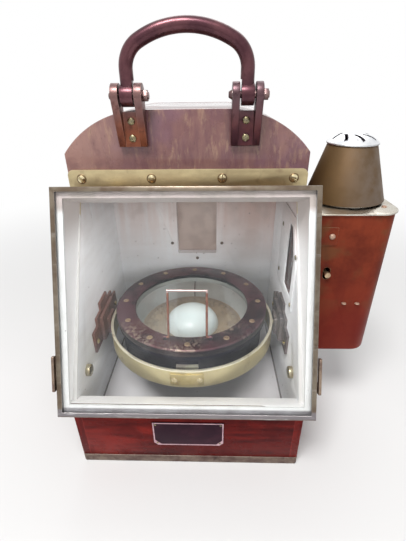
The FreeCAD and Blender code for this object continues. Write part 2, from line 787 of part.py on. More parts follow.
# ---------------------------------------------------------------- handle
def make_handle_bracket(centre_x):
    """Clevis bracket: a plate on the upper front with two ears that rise past the case top."""
    half_gap = clevis_gap / 2
    outer = half_gap + ear_thickness
    low_z = case_height - clevis_bottom_drop
    plate_top = case_height - clevis_plate_drop
    plate_y = upper_y - clevis_plate
    plate = box(-outer, outer, plate_y, upper_y, low_z, plate_top)
    # the ear's front edge runs from the plate's lower front corner, tangent to the eye
    reach = math.hypot(handle_pivot_y - plate_y, handle_pivot_z - low_z)
    down = math.atan2(low_z - handle_pivot_z, plate_y - handle_pivot_y)
    touch = down - math.acos(ear_radius / reach)
    tangent_y = handle_pivot_y + ear_radius * math.cos(touch)
    tangent_z = handle_pivot_z + ear_radius * math.sin(touch)
    back_y_top = min(upper_y, handle_pivot_y + ear_radius)
    ears = []
    for side in (-1, 1):
        x0, x1 = side * half_gap, side * outer
        web = side_prism([(plate_y, low_z), (upper_y, low_z), (upper_y, case_height),
                          (back_y_top, handle_pivot_z), (handle_pivot_y, handle_pivot_z),
                          (tangent_y, tangent_z)], x0, x1)
        eye = rod(ear_radius, V(x0, handle_pivot_y, handle_pivot_z), V(x1, handle_pivot_y, handle_pivot_z))
        ears.append(web)
        ears.append(eye)
    bracket = fused(plate, *ears)
    bolt_hole = rod(handle_bolt_radius, V(-outer, handle_pivot_y, handle_pivot_z),
                    V(outer, handle_pivot_y, handle_pivot_z))
    bracket = bracket.cut(bolt_hole)
    bracket.translate(V(centre_x, 0, 0))
    return bracket


def make_handle():
    centres = (handle_offset - handle_half_span, handle_offset + handle_half_span)
    save("handle_bracket_left", make_handle_bracket(centres[0]))
    save("handle_bracket_right", make_handle_bracket(centres[1]))
    heads = [round_head(V(x, upper_y - clevis_plate, case_height - drop), -Y_AXIS)
             for x in centres for drop in clevis_screw_drops]
    save("bracket_screws", heads)

    outer = clevis_gap / 2 + ear_thickness
    bolts = []
    for x in centres:
        left = V(x - outer, handle_pivot_y, handle_pivot_z)
        right = V(x + outer, handle_pivot_y, handle_pivot_z)
        head = round_head(left, -X_AXIS, bolt_head_radius, bolt_head_height)
        tip = right + X_AXIS * (nut_height + bolt_end)
        nut = prism([V(right.x, right.y + nut_radius * math.cos(a), right.z + nut_radius * math.sin(a))
                     for a in [math.radians(60 * i) for i in range(6)]], V(nut_height, 0, 0))
        bolts.append(fused(rod(handle_bolt_radius, left, tip), head, nut))
    save("handle_bolts", bolts)

    # three-centred arch: two corner arcs and one crown arc, tangent to the straight legs
    half = handle_half_span
    leg_x = half - handle_draw_in
    rise = handle_crown - handle_leg
    small = handle_corner_radius
    offset = leg_x - small
    drop = (offset ** 2 - (rise - small) ** 2) / (2 * (rise - small))
    big = rise + drop
    meet = math.atan2(offset, drop)
    meet_x = big * math.sin(meet)
    meet_z = handle_leg - drop + big * math.cos(meet)
    half_turn = (math.pi / 2 - meet) / 2
    mid_x = offset + small * math.cos(half_turn)
    mid_z = handle_leg + small * math.sin(half_turn)
    path = Part.Wire([
        line(-leg_x, 0, -leg_x, handle_leg),
        arc(-leg_x, handle_leg, -mid_x, mid_z, -meet_x, meet_z),
        arc(-meet_x, meet_z, 0, handle_crown, meet_x, meet_z),
        arc(meet_x, meet_z, mid_x, mid_z, leg_x, handle_leg),
        line(leg_x, handle_leg, leg_x, 0),
    ])
    section = Part.Wire([Part.Circle(V(-leg_x, 0, 0), Z_AXIS, handle_radius).toShape()])
    grip = path.makePipeShell([section], True, False)
    # between the ears each leg is ground flat to the width of its eye
    eyes = []
    flat_top = ear_radius + handle_flat_extra
    for side in (-1, 1):
        x0 = side * half - handle_eye_width / 2
        x1 = x0 + handle_eye_width
        grip = grip.cut(box(x0 - handle_radius, x0, -handle_radius, handle_radius, -bolt_end, flat_top))
        grip = grip.cut(box(x1, x1 + handle_radius, -handle_radius, handle_radius, -bolt_end, flat_top))
        eyes.append(rod(handle_eye_radius, V(x0, 0, 0), V(x1, 0, 0)))
    handle = fused(grip, *eyes)
    for side in (-1, 1):
        x0 = side * half - handle_eye_width
        hole = rod(handle_bolt_radius + shaft_gap, V(x0, 0, 0), V(x0 + 2 * handle_eye_width, 0, 0))
        handle = handle.cut(hole)
    handle.translate(V(handle_offset, handle_pivot_y, handle_pivot_z))
    save("carrying_handle", handle)


# ---------------------------------------------------------------- compass
def make_gimbal_brackets():
    face_x = inner_x - bracket_plate
    low_z = pivot_z - bracket_drop
    steps = sorted(bracket_steps)
    outline = [(compass_y - steps[-1][0], low_z)]
    for half, rise in reversed(steps):
        outline.append((compass_y - half, pivot_z + rise))
        following = [s for s in steps if s[0] < half]
        if following:
            outline.append((compass_y - following[-1][0], pivot_z + rise))
    outline += [(2 * compass_y - y, z) for y, z in reversed(outline)]
    plate = side_prism(outline, face_x, inner_x)
    block_x = ring_outer + bearing_gap
    block = box(block_x, face_x, compass_y - bearing_half_width, compass_y + bearing_half_width,
                low_z, pivot_z + bearing_half_width)
    rib = box((block_x + face_x) / 2, face_x, compass_y - rib_half_width,
              compass_y + rib_half_width, low_z, pivot_z + rib_rise)
    bracket = fused(plate, block, rib)
    hole_end = V(ring_outer + trunnion_reach + seat_gap, compass_y, pivot_z)
    bracket = bracket.cut(rod(trunnion_radius + shaft_gap, V(0, compass_y, pivot_z), hole_end))
    save("gimbal_bracket_right", bracket)
    save("gimbal_bracket_left", mirrored(bracket))
    screw_half = (steps[-1][0] + steps[-2][0]) / 2
    heads = [round_head(V(face_x, compass_y + side * screw_half, pivot_z), -X_AXIS) for side in (-1, 1)]
    save("gimbal_bracket_screws", heads + [mirrored(head) for head in heads])


def make_gimbal_ring():
    centre = V(0, compass_y, pivot_z - ring_height / 2)
    ring = tube(ring_outer, ring_inner, centre, ring_height)
    far = V(ring_outer + trunnion_reach, compass_y, pivot_z)
    ring = ring.cut(rod(trunnion_radius, V(-far.x, far.y, far.z), far))
    ring = ring.cut(rod(bowl_screw_radius, V(0, front_y, pivot_z), V(0, back_y, pivot_z)))
    save("gimbal_ring", ring)
    trunnion = rod(trunnion_radius, V(0, compass_y, pivot_z), far)
    trunnion = trunnion.cut(Part.makeCylinder(ring_inner, ring_height, centre))

    # covers over the bowl's pivot screws, bent to the ring's curve
    cover_low = V(0, compass_y, pivot_z - cover_height / 2)
    band = tube(ring_outer + cover_sheet, ring_outer, cover_low, cover_height)
    front_cover = band.common(box(-cover_half, cover_half, front_y, compass_y, 0, case_height))
    save("pivot_cover_plates", [front_cover, front_cover.mirror(V(0, compass_y, 0), Y_AXIS)])

    core = V(0, compass_y, pivot_z)
    screws = []
    for side in (-1, 1):
        out = Y_AXIS * side
        shank = rod(bowl_screw_radius, core + out * (ring_inner - screw_tip),
                    core + out * (ring_outer + cover_sheet))
        shank = shank.common(Part.makeCylinder(ring_outer, ring_height, centre))
        pin = rod(bowl_pin_radius, core + out * (bowl_radius + 2 * seat_gap), core + out * ring_inner)
        screws.append(fused(shank, pin))
    save("gimbal_pivots", [trunnion, mirrored(trunnion)] + screws)


def bowl_turn(radius, straight_z, floor_radius, floor_z):
    """Lower points of a bowl profile, from the straight side in to the floor."""
    middle = (radius - (radius - floor_radius) * bowl_turn_in,
              straight_z - (straight_z - floor_z) * bowl_turn_down)
    return curve((radius, straight_z), middle, (floor_radius, floor_z), dome_bands)


def make_bowl():
    centre = V(0, compass_y, 0)
    turn_z = pivot_z - bowl_straight
    flange_z = bezel_bottom - bowl_flange_height
    outer = turned_outline([(0, bezel_bottom), (bowl_flange_radius, bezel_bottom),
                            (bowl_flange_radius, flange_z), (bowl_radius, flange_z)]
                           + bowl_turn(bowl_radius, turn_z, bowl_floor_radius, bowl_floor_z)
                           + [(0, bowl_floor_z)], centre)
    inner = turned_outline([(0, flange_z), (bowl_inner, flange_z)]
                           + bowl_turn(bowl_inner, turn_z, bowl_floor_radius - bowl_wall, cavity_floor_z)
                           + [(0, cavity_floor_z)], centre)
    mouth = Part.makeCylinder(bowl_mouth, bowl_flange_height, V(0, compass_y, flange_z))
    lugs = []
    for side in (-1, 1):
        near = compass_y + side * (bowl_radius - lug_root)
        far = compass_y + side * lug_outer
        lugs.append(box(-lug_half_width, lug_half_width, near, far, pivot_z - lug_drop, pivot_z + lug_rise))
    bowl = fused(outer, *lugs).cut(inner).cut(mouth)
    core = V(0, compass_y, pivot_z)
    for side in (-1, 1):
        out = Y_AXIS * side
        hole_end = core + out * (bowl_radius + seat_gap)
        bowl = bowl.cut(rod(bowl_pin_radius + shaft_gap, hole_end, core + out * ring_inner))
    save("compass_bowl", bowl)

    ballast_low = bowl_floor_z - ballast_height
    ballast = Part.makeCylinder(ballast_radius, ballast_height, V(0, compass_y, ballast_low))
    rim = [e for e in ballast.Edges if e.Closed and e.CenterOfMass.z < ballast_low + ballast_height / 2]
    save("bowl_ballast", ballast.makeChamfer(ballast_chamfer, rim))

    glass = Part.makeCylinder(cover_glass_radius, cover_glass_thickness, V(0, compass_y, bezel_bottom))
    save("cover_glass", glass)
    recess_top = bezel_bottom + cover_glass_thickness
    recess = cover_glass_radius + seat_gap
    bezel = turned_outline([(recess, bezel_bottom), (bezel_outer, bezel_bottom),
                            (bezel_outer, bezel_top - bezel_chamfer),
                            (bezel_outer - bezel_chamfer, bezel_top),
                            (bezel_window + bezel_lip, bezel_top), (bezel_window, bezel_top - bezel_lip),
                            (bezel_window, recess_top), (recess, recess_top)], centre)
    save("bezel_ring", fused(bezel, *sight_lugs()))
    heads = []
    for i in range(bezel_screws):
        angle = 2 * math.pi * i / bezel_screws
        place = V(bezel_screw_circle * math.cos(angle),
                  compass_y + bezel_screw_circle * math.sin(angle), bezel_top)
        heads.append(round_head(place, Z_AXIS, bezel_screw_radius, bezel_screw_height))
    save("bezel_screws", heads)


def make_card():
    centre = V(0, compass_y, 0)
    tip_z = card_z + post_tip_rise
    shoulder_z = card_z - post_shoulder_drop
    foot_z = cavity_floor_z + post_foot_height
    post = turned_outline([(0, cavity_floor_z), (post_foot_radius, cavity_floor_z),
                           (post_foot_radius, foot_z), (post_radius, foot_z), (post_radius, shoulder_z),
                           (post_tip_radius, tip_z), (0, tip_z)], centre)
    save("pivot_post", post)

    cap_low = card_z + card_thickness + jewel_gap
    cap_high = cap_low + jewel_height
    cap = Part.makeCylinder(jewel_radius, jewel_height, V(0, compass_y, cap_low))
    recess_top = tip_z + seat_gap
    recess = cone(jewel_mouth, post_tip_radius + jewel_mouth_gap,
                  V(0, compass_y, cap_low), V(0, compass_y, recess_top))
    save("jewel_cap", cap.cut(recess))

    card = tube(card_radius, card_hole, V(0, compass_y, card_z), card_thickness)
    save("compass_card", card)
    base_z = card_z + card_thickness
    inner_radius = float_radius - float_wall
    inner_top = float_top - float_wall
    outer = curve((float_radius, base_z), (float_radius * dome_shoulder, base_z + float_rise * dome_shoulder),
                  (dome_flat, float_top), dome_bands)
    inner_rise = (inner_top - base_z) * dome_shoulder
    inner = curve((inner_radius, base_z), (inner_radius * dome_shoulder, base_z + inner_rise),
                  (dome_flat, inner_top), dome_bands)
    shell = turned_outline(outer + [(0, float_top), (0, inner_top)] + inner[::-1], centre)
    boss = Part.makeCylinder(jewel_radius, float_top - float_wall / 2 - cap_high, V(0, compass_y, cap_high))
    save("card_float", fused(shell, boss))
    half = magnet_length / 2
    magnets = [box(x - magnet_width / 2, x + magnet_width / 2, compass_y - half, compass_y + half,
                   card_z - magnet_height, card_z) for x in (-magnet_offset, magnet_offset)]
    save("card_magnets", magnets)

    near = compass_y + card_radius + lubber_gap
    far = compass_y + bowl_inner
    lubber = box(-lubber_half, lubber_half, near, far, card_z - lubber_drop, card_z + lubber_rise)
    lubber = lubber.common(Part.makeCylinder(bowl_inner, case_height, V(0, compass_y, 0)))
    save("lubber_line", lubber)


def sight_lugs():
    """Two small eyes on the bezel that carry the sight frame."""
    lugs = []
    for side in (-1, 1):
        x0 = side * (sight_half_width + sight_lug_gap)
        x1 = x0 + side * lug_size
        lug = box(x0, x1, sight_y - lug_size / 2, sight_y + lug_size / 2, bezel_top, sight_z)
        lug = lug.fuse(rod(lug_size / 2, V(x0, sight_y, sight_z), V(x1, sight_y, sight_z))).removeSplitter()
        lugs.append(lug.cut(rod(sight_wire + shaft_gap, V(x0, sight_y, sight_z), V(x1, sight_y, sight_z))))
    return lugs


def make_sight():
    half = sight_half_width
    out = half + sight_lug_gap + lug_size
    places = [(-out, 0), (-half, 0), (-half, sight_height), (half, sight_height), (half, 0), (out, 0)]
    path = Part.makePolygon([V(x, 0, z) for x, z in places])
    section = Part.Wire([Part.Circle(V(-out, 0, 0), X_AXIS, sight_wire).toShape()])
    wire = Part.BRepOffsetAPI.MakePipeShell(path)
    wire.setTransitionMode(1)
    wire.add(section)
    wire.build()
    wire.makeSolid()
    wire = wire.shape()
    wire.rotate(V(0, 0, 0), X_AXIS, -sight_lean)
    wire.translate(V(0, sight_y, sight_z))
    save("sight_frame", wire)


# ---------------------------------------------------------------- lamp
def housing_prism(grow, z0, z1, reach=0.0):
    """Plan of the housing, square at the case and rounded at the two outer corners."""
    x0, x1 = lamp_x - reach, lamp_outer_x + grow
    y0, y1 = lamp_front_y - grow, lamp_back_y + grow
    block = box(x0, x1, y0, y1, z0, z1)
    outer = [e for e in block.Edges
             if abs(e.tangentAt(e.FirstParameter).z) > 0.9 and e.CenterOfMass.x > x1 - 1]
    return block.makeFillet(lamp_round + grow, outer)


def make_lamp_mount():
    plate_y0 = lamp_front_y + slide_margin
    plate_y1 = lamp_back_y - slide_margin
    rail_low_z, rail_high_z = lamp_low_z - rest_height, lamp_high_z - rail_drop
    rail_x = rail_lip_x + rail_sheet
    rails = []
    for edge, out in ((plate_y0 - seat_gap, -1), (plate_y1 + seat_gap, 1)):
        outer = edge + out * rail_sheet
        web = box(half_width, rail_x, edge, outer, rail_low_z, rail_high_z)
        lip = box(rail_lip_x, rail_x, outer, outer - out * (rail_sheet + rail_lip), rail_low_z, rail_high_z)
        foot = box(half_width, half_width + rail_sheet, outer, outer - out * (rail_sheet + rail_lip),
                   rail_low_z, rail_high_z)
        rails.append(fused(web, lip, foot))
    rest = box(half_width, rail_lip_x, plate_y0 - seat_gap, plate_y1 + seat_gap, rail_low_z, lamp_low_z)
    save("lamp_rails", fused(rails[0], rails[1], rest))

    plate = box(slide_x, slide_x + slide_plate_thickness, plate_y0, plate_y1, lamp_low_z, rail_high_z)
    inset = rail_lip + slide_pad_gap
    pad = box(slide_x, lamp_x, plate_y0 + inset, plate_y1 - inset, lamp_low_z, rail_high_z)
    save("lamp_slide_plate", fused(plate, pad).cut(light_opening(0, half_width, lamp_x)))


def make_lamp_housing():
    z0, z1 = lamp_low_z, lamp_high_z
    outer = housing_prism(0, z0, z1)
    inner = housing_prism(-lamp_sheet, z0 + lamp_sheet, z1)
    inner = inner.common(box(lamp_x + lamp_sheet, case_width, front_y, back_y, 0, case_height))
    housing = outer.cut(inner)
    housing = housing.cut(light_opening(0, lamp_x, lamp_x + lamp_sheet))
    # keyhole slot for the wick spindle
    low = spindle_z - slot_height / 2 + slot_width / 2
    high = spindle_z + slot_height / 2 - slot_width / 2
    half = slot_width / 2
    wall_y = lamp_front_y + lamp_sheet
    slot = box(spindle_x - half, spindle_x + half, lamp_front_y, wall_y, low, high)
    for z in (low, high):
        slot = slot.fuse(rod(half, V(spindle_x, lamp_front_y, z), V(spindle_x, wall_y, z)))
    save("lamp_housing", housing.cut(slot))

    lid = housing_prism(lamp_top_overhang, z1, lamp_lid_z, lamp_top_reach)
    collar_inner = collar_radius - collar_sheet
    hole = Part.makeCylinder(collar_inner, lamp_top_thickness, V(chimney_x, chimney_y, z1))
    collar = tube(collar_radius, collar_inner, V(chimney_x, chimney_y, lamp_lid_z), collar_height)
    save("lamp_top_plate", fused(lid.cut(hole), collar))

    rivet_x = lamp_outer_x - rivet_inset
    rivet_z = z1 - rivet_drop
    heads = [round_head(V(x, lamp_front_y, rivet_z), -Y_AXIS, rivet_radius, rivet_height)
             for x in (rivet_x - rivet_pitch, rivet_x)]
    patch_high_z = z1 - patch_drop
    patch_y = lamp_front_y - patch_thickness
    patch_rivet = V(lamp_x + patch_rivet_inset, patch_y, patch_high_z - patch_height / 2)
    patch_head = round_head(patch_rivet, -Y_AXIS, rivet_radius, rivet_height)
    lid_x = lamp_outer_x - lamp_round / 2
    lid_heads = [round_head(V(lid_x, y, lamp_lid_z), Z_AXIS, rivet_radius, rivet_height)
                 for y in (lamp_front_y + lamp_round, lamp_back_y - lamp_round)]
    patch_low_z = patch_high_z - patch_height
    patch = box(lamp_x, lamp_x + patch_width, patch_y, lamp_front_y, patch_low_z, patch_high_z)
    save("lamp_rivets", heads + lid_heads + [fused(patch, patch_head)])


def make_chimney():
    centre = V(chimney_x, chimney_y, 0)
    slope = (chimney_base_radius - chimney_top_radius) / chimney_height
    ledge_z = lamp_lid_z + collar_height
    ledge_r = chimney_base_radius - slope * (ledge_z - chimney_low_z)
    ledge_r2 = chimney_base_radius - slope * (ledge_z + chimney_sheet - chimney_low_z)
    ledge_in = collar_radius - ledge_width
    base_in = chimney_base_radius - chimney_sheet
    top_in = chimney_top_radius - chimney_sheet
    shell = turned_outline([(chimney_base_radius, chimney_low_z), (chimney_top_radius, chimney_high_z),
                            (top_in, chimney_high_z), (ledge_r2 - chimney_sheet, ledge_z + chimney_sheet),
                            (ledge_in, ledge_z + chimney_sheet), (ledge_in, ledge_z),
                            (ledge_r - chimney_sheet, ledge_z), (base_in, chimney_low_z)], centre)
    save("chimney_cone", shell)

    rim = chimney_top_radius + cap_overhang
    low, high = chimney_high_z, chimney_high_z + cap_rise
    inner = rim - 2 * cap_sheet
    outer = curve((rim, low + cap_sheet), (rim * dome_shoulder, low + cap_rise * dome_shoulder),
                  (dome_flat, high), dome_bands)
    under = curve((inner, low), (inner * dome_shoulder, low + (cap_rise - cap_sheet) * dome_shoulder),
                  (dome_flat, high - cap_sheet), dome_bands)
    cap = turned_outline([(rim, low)] + outer + [(0, high), (0, high - cap_sheet)] + under[::-1], centre)
    for i in range(cap_slots):
        angle = 360.0 * i / cap_slots
        slot = box(rim * cap_slot_in, rim * cap_slot_out, -cap_slot_width / 2, cap_slot_width / 2, low, high)
        slot.rotate(V(rim * (cap_slot_in + cap_slot_out) / 2, 0, 0), Z_AXIS, cap_slot_sweep)
        slot.rotate(V(0, 0, 0), Z_AXIS, angle)
        slot.translate(centre)
        cap = cap.cut(slot)
    save("chimney_cap", cap)


def make_burner():
    wall = lamp_sheet + font_gap
    font = box(lamp_x + wall, lamp_outer_x - wall - font_inset, lamp_front_y + wall + font_inset,
               lamp_back_y - wall - font_inset, lamp_low_z + lamp_sheet, font_top)
    uprights = [e for e in font.Edges if abs(e.tangentAt(e.FirstParameter).z) > 0.9]
    save("oil_font", font.makeFillet(font_round, uprights))

    x, y = spindle_x, burner_y
    neck_z = font_top + burner_height
    tube_low = neck_z + burner_neck_height
    tube_top = spindle_z + wick_tube_rise
    slot_x = wick_width / 2 + seat_gap
    slot_y = wick_thickness / 2 + seat_gap
    tube_x = slot_x + wick_tube_wall
    tube_y = slot_y + wick_tube_wall
    block_front = y - slot_y - spindle_block_reach
    burner = fused(Part.makeCylinder(burner_radius, burner_height, V(x, y, font_top)),
                   Part.makeCylinder(burner_neck_radius, burner_neck_height, V(x, y, neck_z)),
                   box(x - tube_x, x + tube_x, y - tube_y, y + tube_y, tube_low, tube_top),
                   box(x - tube_x, x + tube_x, block_front, y + tube_y,
                       spindle_z - spindle_block, spindle_z + spindle_block))
    passage = box(x - slot_x, x + slot_x, y - slot_y, y + slot_y, font_top, tube_top)
    spindle_end = V(x, y - slot_y - seat_gap, spindle_z)
    bore = rod(spindle_radius + shaft_gap, V(x, block_front, spindle_z), V(x, y - slot_y, spindle_z))
    save("lamp_burner", burner.cut(passage).cut(bore))

    wick_low = font_top + wick_travel + seat_gap
    wick_top = tube_top + wick_travel + seat_gap
    wick_x, wick_y = wick_width / 2, wick_thickness / 2
    save("lamp_wick", box(x - wick_x, x + wick_x, y - wick_y, y + wick_y, wick_low, wick_top))

    knob_y = lamp_front_y - knob_gap
    spindle = rod(spindle_radius, spindle_end, V(x, knob_y, spindle_z))
    knob = rod(knob_radius, V(x, knob_y, spindle_z), V(x, knob_y - knob_length, spindle_z))
    save("wick_spindle", fused(spindle, knob))


def main():
    os.makedirs("parts", exist_ok=True)
    make_case()
    make_rear_port()
    make_light_pane()
    make_nameplate()
    make_hood()
    make_window()
    make_catches()
    make_handle()
    make_gimbal_brackets()
    make_gimbal_ring()
    make_bowl()
    make_card()
    make_sight()
    make_lamp_mount()
    make_lamp_housing()
    make_chimney()
    make_burner()


main()
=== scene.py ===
"""Looks of a portable boat binnacle: aged brass and mahogany round a gimballed compass."""

import json
import math

import bmesh
import bpy
from mathutils import Matrix, Vector

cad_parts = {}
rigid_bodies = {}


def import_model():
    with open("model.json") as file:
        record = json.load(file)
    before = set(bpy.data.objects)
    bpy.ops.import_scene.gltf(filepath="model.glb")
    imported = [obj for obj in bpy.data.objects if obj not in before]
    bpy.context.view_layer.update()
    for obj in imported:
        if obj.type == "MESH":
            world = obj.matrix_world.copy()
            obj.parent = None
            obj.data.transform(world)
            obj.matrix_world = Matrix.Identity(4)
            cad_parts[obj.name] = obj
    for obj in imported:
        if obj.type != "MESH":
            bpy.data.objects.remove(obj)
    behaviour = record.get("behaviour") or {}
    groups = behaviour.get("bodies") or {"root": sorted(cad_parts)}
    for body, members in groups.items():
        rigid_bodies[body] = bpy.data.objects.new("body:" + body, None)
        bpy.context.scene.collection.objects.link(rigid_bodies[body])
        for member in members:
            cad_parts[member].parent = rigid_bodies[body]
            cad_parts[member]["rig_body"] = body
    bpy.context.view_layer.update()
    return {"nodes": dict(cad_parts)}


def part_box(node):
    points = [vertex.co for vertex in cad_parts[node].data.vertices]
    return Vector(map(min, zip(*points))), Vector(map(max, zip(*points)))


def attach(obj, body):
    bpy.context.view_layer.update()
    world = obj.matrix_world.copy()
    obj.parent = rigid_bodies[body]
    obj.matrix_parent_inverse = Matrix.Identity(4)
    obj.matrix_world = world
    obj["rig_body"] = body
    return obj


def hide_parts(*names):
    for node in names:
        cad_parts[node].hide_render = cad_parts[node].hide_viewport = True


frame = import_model()

NODES = frame["nodes"]
MM = 0.001
ROUND_ANGLE = math.radians(32)
FLAT_ANGLE = math.radians(0.6)
WELD = 0.003 * MM
FIRST_TURN, NEXT_TURN = 37, 71  # degrees: the first driver slot of a group, and the step to each next one
GROUND_FADE = (0.30, 1.1)


# ------------------------------------------------------------------ shader graphs
class Socket:
    """An output socket that takes part in Python arithmetic."""

    def __init__(self, graph, link):
        self.graph = graph
        self.link = link

    def maths(self, operation, *others, clamp=False):
        return self.graph.node("ShaderNodeMath", {"operation": operation, "use_clamp": clamp},
                               dict(enumerate((self, *others))))

    def __add__(self, other):
        return self.maths("ADD", other)

    __radd__ = __add__

    def __mul__(self, other):
        return self.maths("MULTIPLY", other)

    __rmul__ = __mul__

    def __sub__(self, other):
        return self.maths("SUBTRACT", other)

    def __rsub__(self, other):
        return self.graph.node("ShaderNodeMath", {"operation": "SUBTRACT"}, {0: other, 1: self})

    def __gt__(self, other):
        return self.maths("GREATER_THAN", other)

    def __lt__(self, other):
        return self.maths("LESS_THAN", other)

    def clamped(self):
        return self.maths("ADD", 0.0, clamp=True)

    def size(self):
        return self.maths("ABSOLUTE")

    def distance_from(self, value):
        return (self - value).size()

    def ramp(self, low, high):
        """0 at low and below, 1 at high and above, smooth between."""
        return self.graph.node("ShaderNodeMapRange", {"interpolation_type": "SMOOTHSTEP"},
                               {"Value": self, "From Min": low, "From Max": high})


class Graph:
    """The nodes of one material or world, made by calls."""

    def __init__(self, owner):
        owner.use_nodes = True
        self.tree = owner.node_tree

    def feed(self, target, value):
        if isinstance(value, Socket):
            self.tree.links.new(value.link, target)
        else:
            target.default_value = value

    def node(self, kind, settings=None, inputs=None, output=0):
        made = self.tree.nodes.new(kind)
        for key, value in (settings or {}).items():
            setattr(made, key, value)
        for key, value in (inputs or {}).items():
            self.feed(made.inputs[key], value)
        return Socket(self, made.outputs[output])


class Finish(Graph):
    """A material and the masks that its colour, roughness and relief are made of."""

    def __init__(self, name, colour=(0.5, 0.5, 0.5), roughness=0.5, metallic=0.0, **sockets):
        self.material = bpy.data.materials.new(name)
        super().__init__(self.material)
        self.shader = self.tree.nodes["Principled BSDF"]
        self.output = self.tree.nodes["Material Output"]
        self.set(Base_Color=(*colour, 1), Roughness=roughness, Metallic=metallic, **sockets)

    def set(self, **sockets):
        for name, value in sockets.items():
            self.feed(self.shader.inputs[name.replace("_", " ")], value)

    def made(self, colour, roughness, relief, strength, depth=0.3, **sockets):
        """The finished material: relief is bumped by depth millimetres at the given strength."""
        bump = self.node("ShaderNodeBump", {},
                         {"Height": relief, "Strength": strength, "Distance": depth * MM})
        self.set(Base_Color=colour, Roughness=roughness, Normal=bump, **sockets)
        return self.material

    def place(self):
        """Object coordinates: metres in the object's own frame."""
        return self.node("ShaderNodeTexCoord", output="Object")

    def normal(self):
        return self.node("ShaderNodeNewGeometry", output="Normal")

    def parts(self, vector):
        """X, Y and Z of a vector."""
        split = self.node("ShaderNodeSeparateXYZ", {}, {0: vector}).link.node
        return [Socket(self, output) for output in split.outputs]

    def axis(self, name):
        return self.parts(self.place())["XYZ".index(name)]

    def vectors(self, operation, first, second, output=0):
        return self.node("ShaderNodeVectorMath", {"operation": operation}, {0: first, 1: second}, output)

    def out_from(self, point):
        """Vector from a fixed point to the surface."""
        return self.vectors("SUBTRACT", self.place(), tuple(point))

    def faces(self, point):
        """1 where the surface looks towards the point, as the inside of a shell does."""
        return self.vectors("DOT_PRODUCT", self.out_from(point), self.normal(), "Value") < 0

    def radius_from(self, point):
        """Distance from the upright line through the point."""
        x, y, _ = self.parts(self.out_from(point))
        return (x * x + y * y).maths("SQRT")

    def stretched(self, scale, turn):
        return self.node("ShaderNodeMapping", {}, {"Vector": self.place(), "Scale": scale, "Rotation": turn})

    def noise(self, scale, detail=4.0, rough=0.5, where=None):
        return self.node("ShaderNodeTexNoise", {}, {"Vector": where or self.place(), "Scale": scale,
                                                    "Detail": detail, "Roughness": rough})

    def streaks(self, scale, detail, rough=0.6, turn=(0, 0, 0)):
        """Noise with its own scale along X, Y and Z."""
        return self.noise(1.0, detail, rough, self.stretched(scale, turn))

    def mix(self, factor, first, second):
        """The first colour where factor is 0, the second where it is 1."""
        first, second = (c if isinstance(c, Socket) else (*c, 1) for c in (first, second))
        return self.node("ShaderNodeMix", {"data_type": "RGBA", "clamp_factor": True},
                         {0: factor, 6: first, 7: second}, output=2)

    def stain(self, scale, low, high, **options):
        """Patchy mask from noise, 0 to 1."""
        return self.noise(scale, **options).ramp(low, high)

    def worn_edges(self, width, strength):
        """Mask that is 1 where an edge is nearer than width."""
        soft = self.node("ShaderNodeBevel", {"samples": 6}, {"Radius": width})
        dot = self.vectors("DOT_PRODUCT", soft, self.normal(), "Value")
        return ((1 - dot) * strength * 6.0).clamped()

    def band(self, value, low, high, soft):
        """1 where value lies between low and high, fading over soft."""
        return value.ramp(low - soft, low + soft) * (1 - value.ramp(high - soft, high + soft))

    def crevices(self, distance):
        """1 in the open, less in corners within the distance: the mask of painted corner shade."""
        return self.node("ShaderNodeAmbientOcclusion", {"samples": 6}, {"Distance": distance}, output="AO")


# ------------------------------------------------------------------ finishes used on several pieces
def aged_metal(name, clean, tarnish, dirt, roughness, scale, metallic=1.0, wear=0.5, edge=None, pit=0.15,
               dull=0.25, tone=None, coat=0.0):
    """Metal with cloudy tarnish, dark dirt in its pores and brighter worn edges.

    tone is (from, to, colour, strength): the colour takes over from one height to another.
    """
    finish = Finish(name, metallic=metallic, Coat_Weight=coat, Coat_Roughness=0.08)
    cloud = finish.noise(scale, 5, 0.6)
    fine = finish.noise(scale * 7, 3, 0.6)
    patches = cloud.ramp(0.38, 0.66)
    grime = (finish.noise(scale * 2.3, 5, 0.65).ramp(0.52, 0.75) * 0.8).clamped()
    colour = finish.mix(patches, clean, tarnish)
    if tone:
        start, end, over, strength = tone
        colour = finish.mix(finish.axis("Z").ramp(start, end) * (cloud * 0.6 + 0.7) * strength, colour, over)
    colour = finish.mix(grime, colour, dirt)
    if wear:
        rubbed = finish.worn_edges(0.8 * MM, wear)
        colour = finish.mix((rubbed * (0.6 + fine * 0.6)).clamped(), colour, edge or clean)
    rough = (roughness + patches * dull * 0.6 + grime * dull + (fine - 0.5) * 0.12).clamped()
    return finish.made(colour, rough, fine * 0.5 + cloud, pit, 0.25)


# Span along X over which the painted pink reflection turns redder.
RIGHT_REFLECTION_SPAN = (-0.03, 0.09)


